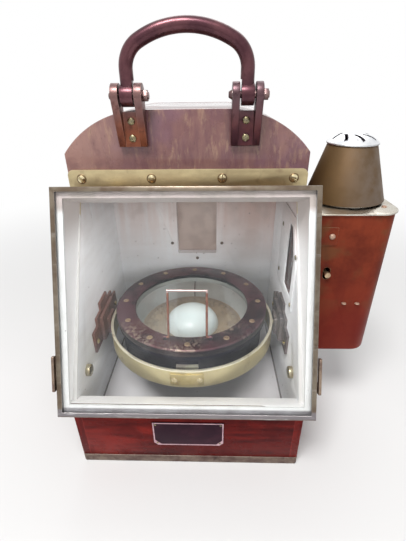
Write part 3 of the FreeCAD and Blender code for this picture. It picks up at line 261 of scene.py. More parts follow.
def white_paint(finish, pink_reflection_heights=None):
    """Old off-white paint on the inside: cool low down, with brush marks, smoky stains and small dark specks.

    The heights given after finish are where a painted pink reflection starts and where it is full; it turns
    redder towards the right.
    """
    brush = finish.streaks((14, 14, 90), 5)
    smoke = finish.stain(9, 0.35, 0.75, detail=6)
    specks = finish.noise(260, 2, 0.4).ramp(0.72, 0.78)
    colour = finish.mix(brush.ramp(0.3, 0.75), (0.92, 0.94, 0.96), (0.84, 0.85, 0.86))
    colour = finish.mix(smoke * 0.35, colour, (0.78, 0.73, 0.70))
    # Painted pink reflection high up, redder towards the right, with darker patches.
    if pink_reflection_heights:
        height = finish.axis("Z").ramp(*pink_reflection_heights)
        runs = finish.streaks((110, 110, 9), 4).ramp(0.35, 0.65)
        colour = finish.mix(height * (0.5 + runs * 0.5), colour, (0.72, 0.585, 0.545))
        right = finish.axis("X").ramp(*RIGHT_REFLECTION_SPAN)
        colour = finish.mix(height * right * 0.85, colour, (0.62, 0.40, 0.335))
        colour = finish.mix(height * finish.stain(26, 0.50, 0.64, detail=7) * 0.4, colour, (0.46, 0.36, 0.32))
    return finish.mix(specks * 0.8, colour, (0.16, 0.12, 0.10))


def varnished_wood(name, light, dark, stain, grain, paint=None, pink_reflection_heights=None, gloss=0.16, varnish=0.5,
                   specular=0.4, blotches=0.45, left_sheen=None, opening=None, flecks=None):
    """Mahogany under old glossy varnish.

    paint is (axis, limit, side): the inside of the board is painted. The range and colour along X after blotches
    paint a sheen of light that grows towards the left.
    opening is (middle, half width, low, high, depth): the sides of a cut-out that are painted too.
    flecks is the colour of pale scratches across the grain. The heights passed on to white_paint are where its
    painted pink reflection starts and is full.
    """
    finish = Finish(name, Coat_Roughness=0.06, Coat_IOR=1.5, Specular_IOR_Level=specular)
    fibres = finish.streaks(grain, 7, 0.62)
    pores = finish.streaks(tuple(g * 6 for g in grain), 3, 0.5)
    cloud = finish.noise(22, 5, 0.6)
    blotch = finish.stain(46, 0.46, 0.68, detail=5)
    colour = finish.mix(fibres.ramp(0.30, 0.70), dark, light)
    colour = finish.mix(cloud.ramp(0.42, 0.66) * 0.75, colour, stain)
    colour = finish.mix(blotch * blotches, colour, dark)
    # Painted sheen: lighter varnish towards the left, where light falls on it.
    if left_sheen:
        start, end, sheen_colour = left_sheen
        colour = finish.mix(finish.axis("X").ramp(start, end) * (cloud * 0.8 + 0.35), colour, sheen_colour)
    if flecks:
        scratched = finish.streaks((160, 160, 40), 6, 0.7, turn=(0, 0.7, 0))
        colour = finish.mix(scratched.ramp(0.52, 0.66) * 0.55, colour, flecks)
        colour = finish.mix(finish.stain(70, 0.5, 0.7, detail=6) * 0.4, colour, dark)
    colour = finish.mix(pores.ramp(0.6, 0.72) * 0.4, colour, tuple(c * 0.35 for c in dark))
    rubbed = finish.worn_edges(1.0 * MM, 0.8)
    colour = finish.mix((rubbed * cloud * 1.3).clamped(), colour, tuple(min(1, c * 1.7 + 0.02) for c in light))
    rough = gloss + blotch * 0.14 + (cloud - 0.5) * 0.10
    coat = varnish * (1 - blotch * 0.4)
    if paint:
        axis, limit, side = paint
        place = finish.axis(axis)
        inside = place < limit if side == "below" else place > limit
        if axis == "X":
            inside = inside * (finish.axis("Y") > side_front)
        else:
            inside = inside * (finish.axis("X").size() < joint_x)
        if opening:
            centre, half, low, high, depth = opening
            beside = finish.axis("X").distance_from(centre) < half
            level = finish.axis("Z").distance_from((low + high) / 2) < (high - low) / 2
            inside = inside.maths("MAXIMUM", beside * level * (place < depth))
        colour = finish.mix(inside, colour, white_paint(finish, pink_reflection_heights))
        rough = rough + inside * 0.3
        coat = coat * (1 - inside * 0.85)
    return finish.made(colour, rough.clamped(), fibres * 0.7 + pores * 0.3, 0.12, Coat_Weight=coat.clamped())


def clear_glass(name, tint, smudge, film):
    """Thin glass: a mirror as strong as its gloss, with finger smudges that catch the light."""
    finish = Finish(name, colour=tint, metallic=1.0)
    gloss = finish.node("ShaderNodeLayerWeight", {}, {"Blend": 0.22}, output="Fresnel")
    smears = finish.stain(24, 0.48, 0.8, detail=6)
    finish.set(Alpha=(gloss * 0.4 + smears * smudge + film).clamped(),
               Roughness=(0.03 + smears * 0.25).clamped())
    return finish.material


def enamel(name, colour, shade, roughness=0.25, coat=0.3, specular=0.5):
    """Smooth paint that wanders a little between two shades."""
    finish = Finish(name, Coat_Roughness=0.1, Specular_IOR_Level=specular)
    cloud = finish.noise(50, 4, 0.6)
    wandering = finish.mix(cloud.ramp(0.4, 0.7), colour, shade)
    return finish.made(wandering, (cloud * 0.15 + roughness).clamped(), finish.noise(300, 2), 0.05, 0.2,
                       Coat_Weight=coat * (1 + cloud * 0.6))


def body_of(node):
    return NODES[node]["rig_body"]


def finish_node(node, finish):
    """Give a CAD node that stays as it is its finish."""
    NODES[node].data.materials.clear()
    NODES[node].data.materials.append(finish)


def welded(node):
    """The CAD node's mesh with its seams welded."""
    made = bmesh.new()
    made.from_mesh(NODES[node].data)
    bmesh.ops.remove_doubles(made, verts=made.verts, dist=WELD)
    return made


def joined_faces(node):
    """The welded mesh with its flat faces made whole."""
    made = welded(node)
    bmesh.ops.dissolve_limit(made, angle_limit=FLAT_ANGLE, verts=made.verts, edges=made.edges)
    return made


def add_piece(name, made, finish, body, stands_for=(), angle=ROUND_ANGLE):
    """Object that rides a body, takes a slot and may stand for CAD nodes."""
    mesh = bpy.data.meshes.new(name)
    made.to_mesh(mesh)
    made.free()
    mesh.polygons.foreach_set("use_smooth", [True] * len(mesh.polygons))
    mesh.set_sharp_from_angle(angle=angle)
    mesh.materials.append(finish)
    piece = bpy.data.objects.new(name, mesh)
    bpy.context.scene.collection.objects.link(piece)
    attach(piece, body)
    if stands_for:
        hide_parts(*stands_for)
    return piece


def ease_edges(made, width, segments, least=30, keep=None):
    """Round every edge sharper than least degrees, but for those whose middle keep() says stay."""
    made.normal_update()
    limit = math.radians(least)
    sharp = [e for e in made.edges if len(e.link_faces) == 2 and e.calc_face_angle(0) > limit
             and not (keep and keep((e.verts[0].co + e.verts[1].co) / 2))]
    bmesh.ops.bevel(made, geom=sharp, offset=width, segments=segments, profile=0.5, affect="EDGES",
                    clamp_overlap=True, offset_type="OFFSET")


def eased(node, width, finish, segments=2, angle=ROUND_ANGLE, keep=None):
    """Piece that stands for a CAD node, with its sharp edges rounded."""
    made = joined_faces(node)
    ease_edges(made, width * MM, segments, keep=keep)
    return add_piece(f"{node}_eased", made, finish, body_of(node), [node], angle)


def join_loops(made, loops):
    """Faces between each loop of points and the next, which has as many."""
    for first, second in zip(loops, loops[1:]):
        for i in range(len(first)):
            j = (i + 1) % len(first)
            made.faces.new((first[i], first[j], second[j], second[i]))


def lathe(profile, centre, steps):
    """Closed surface turned about the upright line through centre; profile holds (radius, height)."""
    made = bmesh.new()
    rings = []
    for radius, height in profile:
        if radius < 1e-7:
            rings.append([made.verts.new(centre + Vector((0, 0, height)))])
            continue
        turn = [2 * math.pi * i / steps for i in range(steps)]
        rings.append([made.verts.new(centre + Vector((radius * math.cos(a), radius * math.sin(a), height)))
                      for a in turn])
    for low, high in zip(rings, rings[1:]):
        for i in range(steps):
            j = (i + 1) % steps
            corners = [low[i % len(low)], low[j % len(low)], high[j % len(high)], high[i % len(high)]]
            unique = list(dict.fromkeys(corners))
            if len(unique) > 2:
                made.faces.new(unique)
    return made


def domed_head(radius, height, slot=True):
    """Domed screw head standing on the origin, its driver slot along Y."""
    arc = [math.radians(a) for a in (0, 22, 45, 66, 90)]
    rim = 0.25
    profile = [(0, 0)] + [(radius * math.cos(a), height * (rim + (1 - rim) * math.sin(a))) for a in arc]
    profile.insert(1, (radius, 0))
    made = lathe(profile, Vector(), 24)
    if slot:
        half, taper = radius * 0.17, 0.75
        for x in (-half, half, -half * taper, half * taper):
            everything = made.verts[:] + made.edges[:] + made.faces[:]
            bmesh.ops.bisect_plane(made, geom=everything, plane_co=(x, 0, 0), plane_no=(1, 0, 0), dist=1e-8)
        floor = height * 0.45
        for vert in made.verts:
            if abs(vert.co.x) <= half * (taper + 0.01) and vert.co.z > floor:
                vert.co.z = floor
    bmesh.ops.recalc_face_normals(made, faces=made.faces)
    return made


def islands(node):
    """Centre and half size of every separate solid of a CAD node."""
    made = welded(node)
    made.verts.index_update()
    seen = set()
    found = []
    for vert in made.verts:
        if vert.index in seen:
            continue
        group, waiting = [], [vert]
        seen.add(vert.index)
        while waiting:
            here = waiting.pop()
            group.append(here.co.copy())
            for edge in here.link_edges:
                other = edge.other_vert(here)
                if other.index not in seen:
                    seen.add(other.index)
                    waiting.append(other)
        low = Vector(min(co[i] for co in group) for i in range(3))
        high = Vector(max(co[i] for co in group) for i in range(3))
        found.append(((low + high) / 2, (high - low) / 2))
    made.free()
    return sorted(found, key=lambda item: tuple(round(c, 5) for c in item[0]))


def main_axis(direction):
    """Number of the axis that a direction runs along."""
    return max(range(3), key=lambda i: abs(direction[i]))


def stand_on(made, foot, outward, turn=0.0):
    """Move a head built on the origin to foot, facing outward and turned about its own axis."""
    aim = outward.to_track_quat("Z", "Y").to_matrix().to_4x4()
    made.transform(Matrix.Translation(foot) @ aim @ Matrix.Rotation(turn, 4, "Z"))


def merge(target, source):
    """Put a copy of the source mesh into the target and free the source."""
    mesh = bpy.data.meshes.new("passing")
    source.to_mesh(mesh)
    source.free()
    target.from_mesh(mesh)
    bpy.data.meshes.remove(mesh)


def screw_group(name, places, outward, radius, height, finish, body, stands_for=(), cut=True):
    """Domed heads at several places, each turned its own way."""
    made = bmesh.new()
    for count, foot in enumerate(places):
        head = domed_head(radius, height, cut)
        stand_on(head, foot, outward, math.radians(FIRST_TURN + NEXT_TURN * count))
        merge(made, head)
    return add_piece(name, made, finish, body, stands_for)


def heads_of(node, outward, finish, grow=1.0):
    """Domed heads in place of a CAD node's plain ones."""
    found = islands(node)
    along = main_axis(outward)
    across = (along + 1) % 3
    half = found[0][1]
    places = [centre - outward * half[along] for centre, _ in found]
    return screw_group(f"{node}_domed", places, outward, half[across] * grow, half[along] * 2, finish,
                       body_of(node), [node])


# ------------------------------------------------------------------ places read from the frame
def middle(node):
    low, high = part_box(node)
    return (low + high) / 2


FORWARD = Vector((0, -1, 0))
LEFTWARD = Vector((-1, 0, 0))
UPWARD = Vector((0, 0, 1))

# The paint inside reaches a little into the wood, so that it covers the inner faces whole.
side_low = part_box("side_board_right")[0]
inside_x = side_low.x + 0.4 * MM
inside_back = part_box("back_board")[0].y + 0.4 * MM
inside_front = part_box("front_board")[1].y - 0.4 * MM
inside_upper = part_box("upper_front_board")[1].y - 0.4 * MM
window_low, window_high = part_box("window_frame")
hood_middle = middle("hood_shell")
bowl_middle = middle("gimbal_ring")

# ------------------------------------------------------------------ wooden case
UPRIGHT_GRAIN = (75, 75, 9)
LEVEL_GRAIN = (9, 75, 75)
DEPTH_GRAIN = (75, 9, 75)

port_low, port_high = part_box("rear_port_plate")
PORT_LAP = 14 * MM  # of the plate over the edge of its hole
port_hole = ((port_low.x + port_high.x) / 2, (port_high.x - port_low.x) / 2 - PORT_LAP, port_low.z + PORT_LAP,
             port_high.z - PORT_LAP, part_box("back_board")[1].y - 0.5 * MM)
side_front = side_low.y + 1.2 * MM
joint_x = side_low.x + 0.5 * MM
# Span along X over which the painted sheen on the upper board grows towards the left.
LEFT_SHEEN_SPAN = (-0.040, -0.110)
plum_wood = varnished_wood("plum_varnish", (0.195, 0.095, 0.080), (0.115, 0.048, 0.054), (0.155, 0.076, 0.098),
                           (150, 150, 26), ("Y", inside_upper, "above"), varnish=0.45, blotches=0.3,
                           left_sheen=(*LEFT_SHEEN_SPAN, (0.28, 0.155, 0.125)), flecks=(0.30, 0.185, 0.125))
roof_wood = varnished_wood("roof_varnish", (0.23, 0.10, 0.085), (0.12, 0.045, 0.045), (0.17, 0.08, 0.08),
                           DEPTH_GRAIN, varnish=0.9, specular=0.6, gloss=0.12)
RED = ((0.200, 0.016, 0.012), (0.045, 0.004, 0.005), (0.115, 0.009, 0.008))
DULL = {"varnish": 0.0, "specular": 0.05, "gloss": 0.24}
# Heights where the painted pink reflection on the inner walls starts and is full.
SIDE_REFLECTION_HEIGHTS = (0.20, 0.34)
BACK_REFLECTION_HEIGHTS = (0.12, 0.26)
red_wood = varnished_wood("mahogany_varnish", *RED, LEVEL_GRAIN, ("Y", inside_front, "above"), **DULL)
left_wood = varnished_wood("left_side_varnish", *RED, UPRIGHT_GRAIN, ("X", -inside_x, "above"), SIDE_REFLECTION_HEIGHTS,
                           **DULL)
right_wood = varnished_wood("right_side_varnish", *RED, UPRIGHT_GRAIN, ("X", inside_x, "below"), SIDE_REFLECTION_HEIGHTS,
                            **DULL)
back_wood = varnished_wood("back_varnish", *RED, UPRIGHT_GRAIN, ("Y", inside_back, "below"), BACK_REFLECTION_HEIGHTS,
                           varnish=0.05, specular=0.1, opening=port_hole)

eased("upper_front_board", 0.7, plum_wood)
eased("roof_board", 0.8, roof_wood)
eased("front_board", 0.05, red_wood)


def flush_joint(spot):
    """Edge where a side board meets the front board in one flat face."""
    return abs(spot.x) < joint_x and spot.y < side_low.y + 0.5 * MM


eased("side_board_left", 0.3, left_wood, keep=flush_joint)
eased("side_board_right", 0.3, right_wood, keep=flush_joint)
eased("back_board", 0.8, back_wood)


FLOOR_GAP = 111 * MM


def floor_paint():
    """Lilac-grey paint with the dark gaps between the floor's panels, and painted shade in its corners."""
    finish = Finish("floor_paint")
    colour = white_paint(finish)
    colour = finish.mix(0.4, colour, (0.56, 0.51, 0.53))
    gap = finish.axis("X").size().distance_from(FLOOR_GAP) < 1.0 * MM
    colour = finish.mix(gap * 0.85, colour, (0.06, 0.05, 0.05))
    # Painted shade: darker in the corners, where the walls shade the floor.
    colour = finish.mix((1 - finish.crevices(16 * MM)) * 0.5, colour, (0.16, 0.13, 0.13))
    return finish.made(colour, finish.stain(24, 0.3, 0.7) * 0.25 + 0.35, 1 - gap, 0.4, 0.5)


finish_node("floor_board", floor_paint())
under_wood = varnished_wood("underside_stain", (0.16, 0.06, 0.04), (0.06, 0.02, 0.015), (0.11, 0.035, 0.025),
                            LEVEL_GRAIN, gloss=0.45)
finish_node("bottom_board", under_wood)

tray_brass = aged_metal("tray_brass", (0.22, 0.165, 0.13), (0.12, 0.075, 0.065), (0.05, 0.03, 0.03), 0.38, 50,
                        edge=(0.46, 0.43, 0.37), metallic=0.8)


def rounded_outline(half_x, half_y, radius, centre, corner_steps=6):
    """Points of a rectangle with round corners, seen from above."""
    points = []
    for corner, (sx, sy) in enumerate(((1, 1), (-1, 1), (-1, -1), (1, -1))):
        for step in range(corner_steps + 1):
            angle = math.pi / 2 * (corner + step / corner_steps)
            points.append(Vector((centre.x + sx * (half_x - radius) + radius * math.cos(angle),
                                  centre.y + sy * (half_y - radius) + radius * math.sin(angle), 0)))
    return points


def base_tray():
    """Folded sheet tray under the case: its rim stands a little up the boards, with rounded corners."""
    low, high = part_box("base_plate")
    centre = (low + high) / 2
    proud = 0.8 * MM
    half_x, half_y = (high.x - low.x) / 2 + proud, (high.y - low.y) / 2 + proud
    rim = (high.z - low.z) / MM
    section = [(2.2, 0.0), (0.9, 0.25), (0.25, 0.9), (0.0, 2.2), (0.0, rim - 0.5), (0.12, rim - 0.12),
               (0.4, rim), (0.7, rim), (0.78, rim - 0.3), (0.78, 1.6)]
    made = bmesh.new()
    loops = []
    for inset, height in section:
        round_off = max(1.0, 2.7 - inset) * MM
        outline = rounded_outline(half_x - inset * MM, half_y - inset * MM, round_off, centre)
        loops.append([made.verts.new(point + Vector((0, 0, low.z + height * MM))) for point in outline])
    join_loops(made, loops)
    made.faces.new(loops[0][::-1])
    made.faces.new(loops[-1])
    bmesh.ops.recalc_face_normals(made, faces=made.faces)
    return add_piece("base_tray", made, tray_brass, "case", ["base_plate"])


base_tray()

# ------------------------------------------------------------------ hood and strip
hood_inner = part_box("hood_shell")[1].x - 1.2 * MM
flange_front = inside_upper - 16 * MM
# Heights where the painted pink reflection inside the hood starts and is full.
HOOD_REFLECTION_HEIGHTS = (0.225, 0.275)


def flange_finish():
    """Greenish yellow brass on the strip, white paint where the flange runs down inside the hood."""
    finish = Finish("strip_brass")
    cloud = finish.streaks((26, 60, 60), 6, 0.62)
    fine = finish.noise(320, 3, 0.6)
    colour = finish.mix(cloud.ramp(0.36, 0.66), (0.66, 0.55, 0.32), (0.50, 0.40, 0.235))
    colour = finish.mix(finish.stain(90, 0.55, 0.75) * 0.6, colour, (0.34, 0.24, 0.15))
    colour = finish.mix((finish.worn_edges(0.7 * MM, 0.9) * 0.7).clamped(), colour, (0.95, 0.86, 0.58))
    painted = (finish.axis("X").size() < hood_inner) * (finish.axis("Y") < flange_front)
    rough = (0.26 + cloud * 0.2 + (fine - 0.5) * 0.1 + painted * 0.2).clamped()
    return finish.made(finish.mix(painted, colour, (0.80, 0.79, 0.77)), rough, fine * 0.4 + cloud, 0.12, 0.25,
                       Metallic=1 - painted)


eased("hood_flange", 0.3, flange_finish())


def hood_finish():
    """White paint inside the hood, with a painted pink reflection high up, and dull bronze outside."""
    finish = Finish("hood_paint")
    inside = finish.faces(hood_middle)
    cloud = finish.noise(40, 5, 0.6)
    bronze = finish.mix(cloud.ramp(0.4, 0.65), (0.32, 0.22, 0.15), (0.17, 0.10, 0.08))
    white = finish.mix(finish.stain(30, 0.5, 0.8, detail=6) * 0.35, (1.0, 1.0, 1.0), (0.92, 0.92, 0.91))
    # Painted pink reflection high up inside the hood.
    hood_pink_reflection = finish.axis("Z").ramp(*HOOD_REFLECTION_HEIGHTS)
    white = finish.mix(hood_pink_reflection * 0.75, white, (0.56, 0.47, 0.43))
    return finish.made(finish.mix(inside, bronze, white), (cloud * 0.2 + 0.32).clamped(), cloud, 0.1,
                       Metallic=1 - inside)


eased("hood_shell", 0.3, hood_finish())

# ------------------------------------------------------------------ window
window_length = math.dist((window_low.y, window_low.z), (window_high.y, window_high.z))
bead_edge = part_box("glazing_bead")[1].x
LOW_BAR = (3.5 * MM, 11 * MM, 1.2 * MM)
BEAD_FOOT = (9.5 * MM, 11.5 * MM)
bead_top = (window_length - 30 * MM, window_length - 20 * MM)
bead_rim_shade = (bead_edge - 3.2 * MM, bead_edge - 1.8 * MM)


def window_face(finish):
    """How far up the sloping window a point lies, in metres from its lower edge."""
    lowest = Vector((0, window_low.y, window_low.z))
    slope = Vector((0, window_high.y - window_low.y, window_high.z - window_low.z)).normalized()
    return finish.vectors("DOT_PRODUCT", finish.out_from(lowest), tuple(slope), "Value")


def frame_finish():
    """Olive bronze, with a painted grey reflection and scratches along the lower bar, bright along its worn
    edges.
    """
    finish = Finish("frame_bronze", metallic=1.0)
    cloud = finish.noise(46, 5, 0.6)
    fine = finish.noise(330, 3, 0.6)
    scratches = finish.streaks((30, 260, 260), 4, 0.7).ramp(0.56, 0.72)
    rise = window_face(finish)
    colour = finish.mix(cloud.ramp(0.38, 0.64), (0.235, 0.195, 0.150), (0.150, 0.112, 0.082))
    colour = finish.mix(finish.stain(100, 0.54, 0.76) * 0.8, colour, (0.12, 0.085, 0.06))
    # Painted reflection of the pale ground greys the lower bar; its scratches are real wear.
    low_bar = finish.band(rise, *LOW_BAR)
    colour = finish.mix(low_bar * 0.75, colour, (0.27, 0.255, 0.28))
    colour = finish.mix(scratches * (low_bar * 0.6 + 0.15), colour, (0.85, 0.84, 0.84))
    rubbed = finish.worn_edges(0.8 * MM, 0.8)
    colour = finish.mix((rubbed * (0.5 + fine * 0.7)).clamped(), colour, (0.80, 0.77, 0.72))
    rough = (0.24 + cloud * 0.2 + (fine - 0.5) * 0.12).clamped()
    return finish.made(colour, rough, fine * 0.4 + cloud + scratches * 0.3, 0.14, 0.25)


def bead_finish():
    """White putty bead round the glass, with a painted pink reflection at the top, grey at its foot, painted
    shade along its outer edge, and nicks.
    """
    finish = Finish("bead_paint")
    cloud = finish.noise(40, 5, 0.6)
    rise = window_face(finish)
    across = finish.axis("X").size()
    colour = finish.mix(cloud.ramp(0.35, 0.7), (0.90, 0.92, 0.92), (0.80, 0.81, 0.80))
    # Painted pink reflection along the top.
    top = rise.ramp(*bead_top)
    bead_pink_reflection = finish.mix(cloud.ramp(0.4, 0.6), (0.50, 0.42, 0.40), (0.40, 0.34, 0.31))
    colour = finish.mix(top * 0.9, colour, bead_pink_reflection)
    foot = 1 - rise.ramp(*BEAD_FOOT)
    grey = finish.mix(cloud.ramp(0.4, 0.6), (0.28, 0.265, 0.29), (0.18, 0.165, 0.18))
    colour = finish.mix(foot * 0.85, colour, grey)
    # Painted shade along the outer edge, where the glazing seat lies in shadow.
    outer = across.ramp(*bead_rim_shade)
    colour = finish.mix(outer * 0.75, colour, (0.24, 0.25, 0.26))
    nicks = finish.noise(120, 4, 0.7).ramp(0.67, 0.72)
    colour = finish.mix(nicks * 0.8, colour, (0.10, 0.10, 0.11))
    return finish.made(colour, (0.60 + cloud * 0.2).clamped(), cloud + nicks * 0.5, 0.08)


eased("window_frame", 0.35, frame_finish())
eased("glazing_bead", 0.4, bead_finish())
hinge_brass = aged_metal("hinge_brass", (0.46, 0.36, 0.19), (0.28, 0.19, 0.11), (0.12, 0.07, 0.05), 0.35, 90)
eased("window_hinge_leaves", 0.25, hinge_brass)
eased("hood_hinges", 0.25, hinge_brass)
catch_bronze = aged_metal("catch_bronze", (0.34, 0.25, 0.19), (0.18, 0.12, 0.10), (0.08, 0.05, 0.04), 0.33, 90,
                          edge=(0.60, 0.54, 0.44))
eased("catch_left", 0.3, catch_bronze)
eased("catch_right", 0.3, catch_bronze)
pale_brass = aged_metal("pale_brass", (0.66, 0.60, 0.42), (0.46, 0.38, 0.24), (0.22, 0.16, 0.11), 0.27, 120,
                        edge=(0.86, 0.80, 0.62))
eased("catch_bolts", 0.3, pale_brass)
window_pane = clear_glass("window_pane", (0.93, 0.96, 0.96), 0.035, 0.02)
lamp_pane = clear_glass("lamp_pane", (0.88, 0.92, 0.90), 0.08, 0.05)
compass_pane = clear_glass("compass_pane", (0.86, 0.93, 0.92), 0.02, 0.0)
for node, finish in (("window_glass", window_pane), ("light_pane", lamp_pane), ("cover_glass", compass_pane)):
    eased(node, 0.3, finish)

# ------------------------------------------------------------------ handle
handle_bronze = aged_metal("handle_bronze", (0.125, 0.048, 0.056), (0.068, 0.023, 0.031), (0.038, 0.014, 0.018),
                           0.30, 40, metallic=0.8, wear=0, pit=0.015, dull=0.10, coat=0.12)
eased("carrying_handle", 0.5, handle_bronze, segments=3, angle=math.radians(45))
# Painted sheen: the bracket ears turn paler and greyer above the case, where light falls from above.
EAR_SHEEN_HEIGHTS = (0.338, 0.372)
copper_bracket = aged_metal("copper_bracket", (0.25, 0.083, 0.043), (0.150, 0.047, 0.032), (0.075, 0.026, 0.022),
                            0.34, 55, metallic=0.8, edge=(0.55, 0.40, 0.34),
                            tone=(*EAR_SHEEN_HEIGHTS, (0.19, 0.115, 0.115), 0.9))
plum_bracket = aged_metal("plum_bracket", (0.115, 0.036, 0.038), (0.065, 0.022, 0.030), (0.035, 0.014, 0.018),
                          0.34, 55, metallic=0.8, edge=(0.42, 0.30, 0.28),
                          tone=(*EAR_SHEEN_HEIGHTS, (0.120, 0.075, 0.085), 0.85))
eased("handle_bracket_left", 0.9, copper_bracket, segments=3)
eased("handle_bracket_right", 0.9, plum_bracket, segments=3)
bolt_bronze = aged_metal("bolt_bronze", (0.24, 0.16, 0.15), (0.14, 0.085, 0.09), (0.07, 0.04, 0.04), 0.3, 120,
                         edge=(0.55, 0.48, 0.45))
eased("handle_bolts", 0.35, bolt_bronze)
screw_brass = aged_metal("screw_brass", (0.80, 0.70, 0.45), (0.55, 0.46, 0.28), (0.22, 0.16, 0.10), 0.22, 200,
                         edge=(0.96, 0.90, 0.70))
olive_screw = aged_metal("olive_screw", (0.30, 0.26, 0.15), (0.18, 0.145, 0.09), (0.10, 0.08, 0.06), 0.26, 200,
                         edge=(0.62, 0.58, 0.42))
worn_screw = aged_metal("worn_screw", (0.52, 0.40, 0.25), (0.34, 0.22, 0.15), (0.10, 0.06, 0.06), 0.28, 160,
                        edge=(0.60, 0.50, 0.34), metallic=0.8)
washer_brass = aged_metal("washer_brass", (0.30, 0.22, 0.12), (0.18, 0.12, 0.08), (0.08, 0.05, 0.04), 0.4, 200)
heads_of("hood_screws", FORWARD, screw_brass, 1.15)
heads_of("bracket_screws", FORWARD, olive_screw)


def washers(name, node, outward, radius, finish):
    """Thin dished washers under the heads of a node."""
    made = bmesh.new()
    along = main_axis(outward)
    thick = 0.45 * MM
    profile = [(0, 0), (radius, 0), (radius, thick * 0.5), (radius - 0.35 * MM, thick), (0, thick)]
    for centre, half in islands(node):
        ring = lathe(profile, Vector(), 32)
        bmesh.ops.recalc_face_normals(ring, faces=ring.faces)
        stand_on(ring, centre - outward * half[along], outward)
        merge(made, ring)
    return add_piece(name, made, finish, body_of(node))


washers("hood_washers", "hood_screws", FORWARD, 4.9 * MM, washer_brass)


# ------------------------------------------------------------------ rear port, light pane, nameplate
def port_finish():
    """Khaki-grey plate with a painted shadow line along the edge of the hole in the board."""
    finish = Finish("port_grey")
    cloud = finish.noise(50, 5, 0.6)
    colour = finish.mix(cloud.ramp(0.4, 0.7), (0.55, 0.43, 0.375), (0.46, 0.35, 0.305))
    centre, half, low, high, _ = port_hole
    # Painted shadow: a dark line where the hole's edge shades the plate.
    line = 1.6 * MM
    edge = (finish.axis("X").distance_from(centre) > half - line).maths(
        "MAXIMUM", finish.axis("Z").distance_from((low + high) / 2) > (high - low) / 2 - line)
    colour = finish.mix(edge * 0.8, colour, (0.12, 0.08, 0.07))
    return finish.made(colour, (cloud * 0.2 + 0.32).clamped(), cloud, 0.1)


eased("rear_port_plate", 0.4, port_finish())
dark_bolt = aged_metal("dark_bolt", (0.24, 0.17, 0.12), (0.13, 0.08, 0.06), (0.07, 0.04, 0.03), 0.35, 160)
eased("rear_port_bolts", 0.2, dark_bolt)


def pane_frame_finish():
    """The walls' paint, chipped to the wood along the edges."""
    finish = Finish("pane_frame_paint")
    colour = white_paint(finish, SIDE_REFLECTION_HEIGHTS)
    chips = (finish.worn_edges(0.9 * MM, 0.9) * finish.stain(60, 0.42, 0.6)).clamped()
    colour = finish.mix(chips, colour, (0.22, 0.13, 0.09))
    return finish.made(colour, (finish.noise(30) * 0.2 + 0.35).clamped(), finish.noise(90, 4, 0.6), 0.12)


eased("light_pane_frame", 0.3, pane_frame_finish())
pane_low, pane_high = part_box("light_pane_frame")
front_in, back_in = 4.5 * MM, 12 * MM
pane_rows = ((pane_low.y + front_in, (7, 65)), (pane_high.y - back_in, (14, 74)))
pane_screws = [Vector((pane_low.x, y, pane_low.z + rise * MM)) for y, rises in pane_rows for rise in rises]
screw_group("pane_frame_screws", pane_screws, LEFTWARD, 2.6 * MM, 1.2 * MM, olive_screw, "case")

plate_enamel = enamel("nameplate_enamel", (0.022, 0.006, 0.014), (0.040, 0.012, 0.022), 0.45, 0.0, 0.12)
eased("nameplate", 0.25, plate_enamel)


def nameplate_border():
    """Raised pale line round the bare plate, its lower corners filled and pinned."""
    low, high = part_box("nameplate")
    y = low.y
    proud, line, chamfer, nip, inset = 0.3 * MM, 1.3 * MM, 6.5 * MM, 4.0 * MM, 0.3 * MM
    x0, x1, z0, z1 = low.x + inset, high.x - inset, low.z + inset, high.z - inset
    outer = [(x0, z1), (x0, z0 + nip), (x0 + nip, z0), (x1 - nip, z0), (x1, z0 + nip), (x1, z1)]
    a, b, c, d = x0 + line, x1 - line, z0 + line, z1 - line
    inner = [(a, d), (a, c + chamfer), (a + chamfer, c), (b - chamfer, c), (b, c + chamfer), (b, d)]
    sunk = 0.1 * MM
    made = bmesh.new()
    rows = [[made.verts.new((x, y + shift, z)) for x, z in outline]
            for outline, shift in ((outer, sunk), (outer, -proud), (inner, -proud), (inner, sunk))]
    join_loops(made, rows + rows[:1])
    bmesh.ops.recalc_face_normals(made, faces=made.faces)
    pale = aged_metal("plate_border", (0.62, 0.42, 0.46), (0.45, 0.27, 0.32), (0.20, 0.09, 0.11), 0.35, 160,
                      metallic=0.5)
    add_piece("nameplate_border", made, pale, "case")
    low_in, top_in = 3.6 * MM, 3.0 * MM
    corners = [(x0 + low_in, z0 + low_in), (x1 - low_in, z0 + low_in), (x0 + top_in, z1 - top_in),
               (x1 - top_in, z1 - top_in)]
    pins = [Vector((x, y - proud * 0.6, z)) for x, z in corners]
    screw_group("nameplate_pins", pins, FORWARD, 1.2 * MM, 0.7 * MM, olive_screw, "case",
                cut=False)


nameplate_border()

# ------------------------------------------------------------------ compass
ring_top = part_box("gimbal_ring")[1].z
# The tone paints a highlight: a bright line along the ring's top edge.
ring_brass = aged_metal("ring_brass", (0.68, 0.60, 0.35), (0.58, 0.50, 0.29), (0.42, 0.34, 0.20), 0.42, 14,
                        edge=(0.95, 0.91, 0.74), pit=0.01, dull=0.06, wear=0.9, metallic=0.8,
                        tone=(ring_top - 1.5 * MM, ring_top - 0.7 * MM, (0.95, 0.90, 0.70), 1.0))
eased("gimbal_ring", 0.5, ring_brass)
cover_brass = aged_metal("cover_brass", (0.54, 0.45, 0.23), (0.42, 0.34, 0.16), (0.26, 0.18, 0.09), 0.30, 60,
                         edge=(0.95, 0.88, 0.60))
eased("pivot_cover_plates", 0.3, cover_brass)
eased("gimbal_pivots", 0.3, pale_brass)


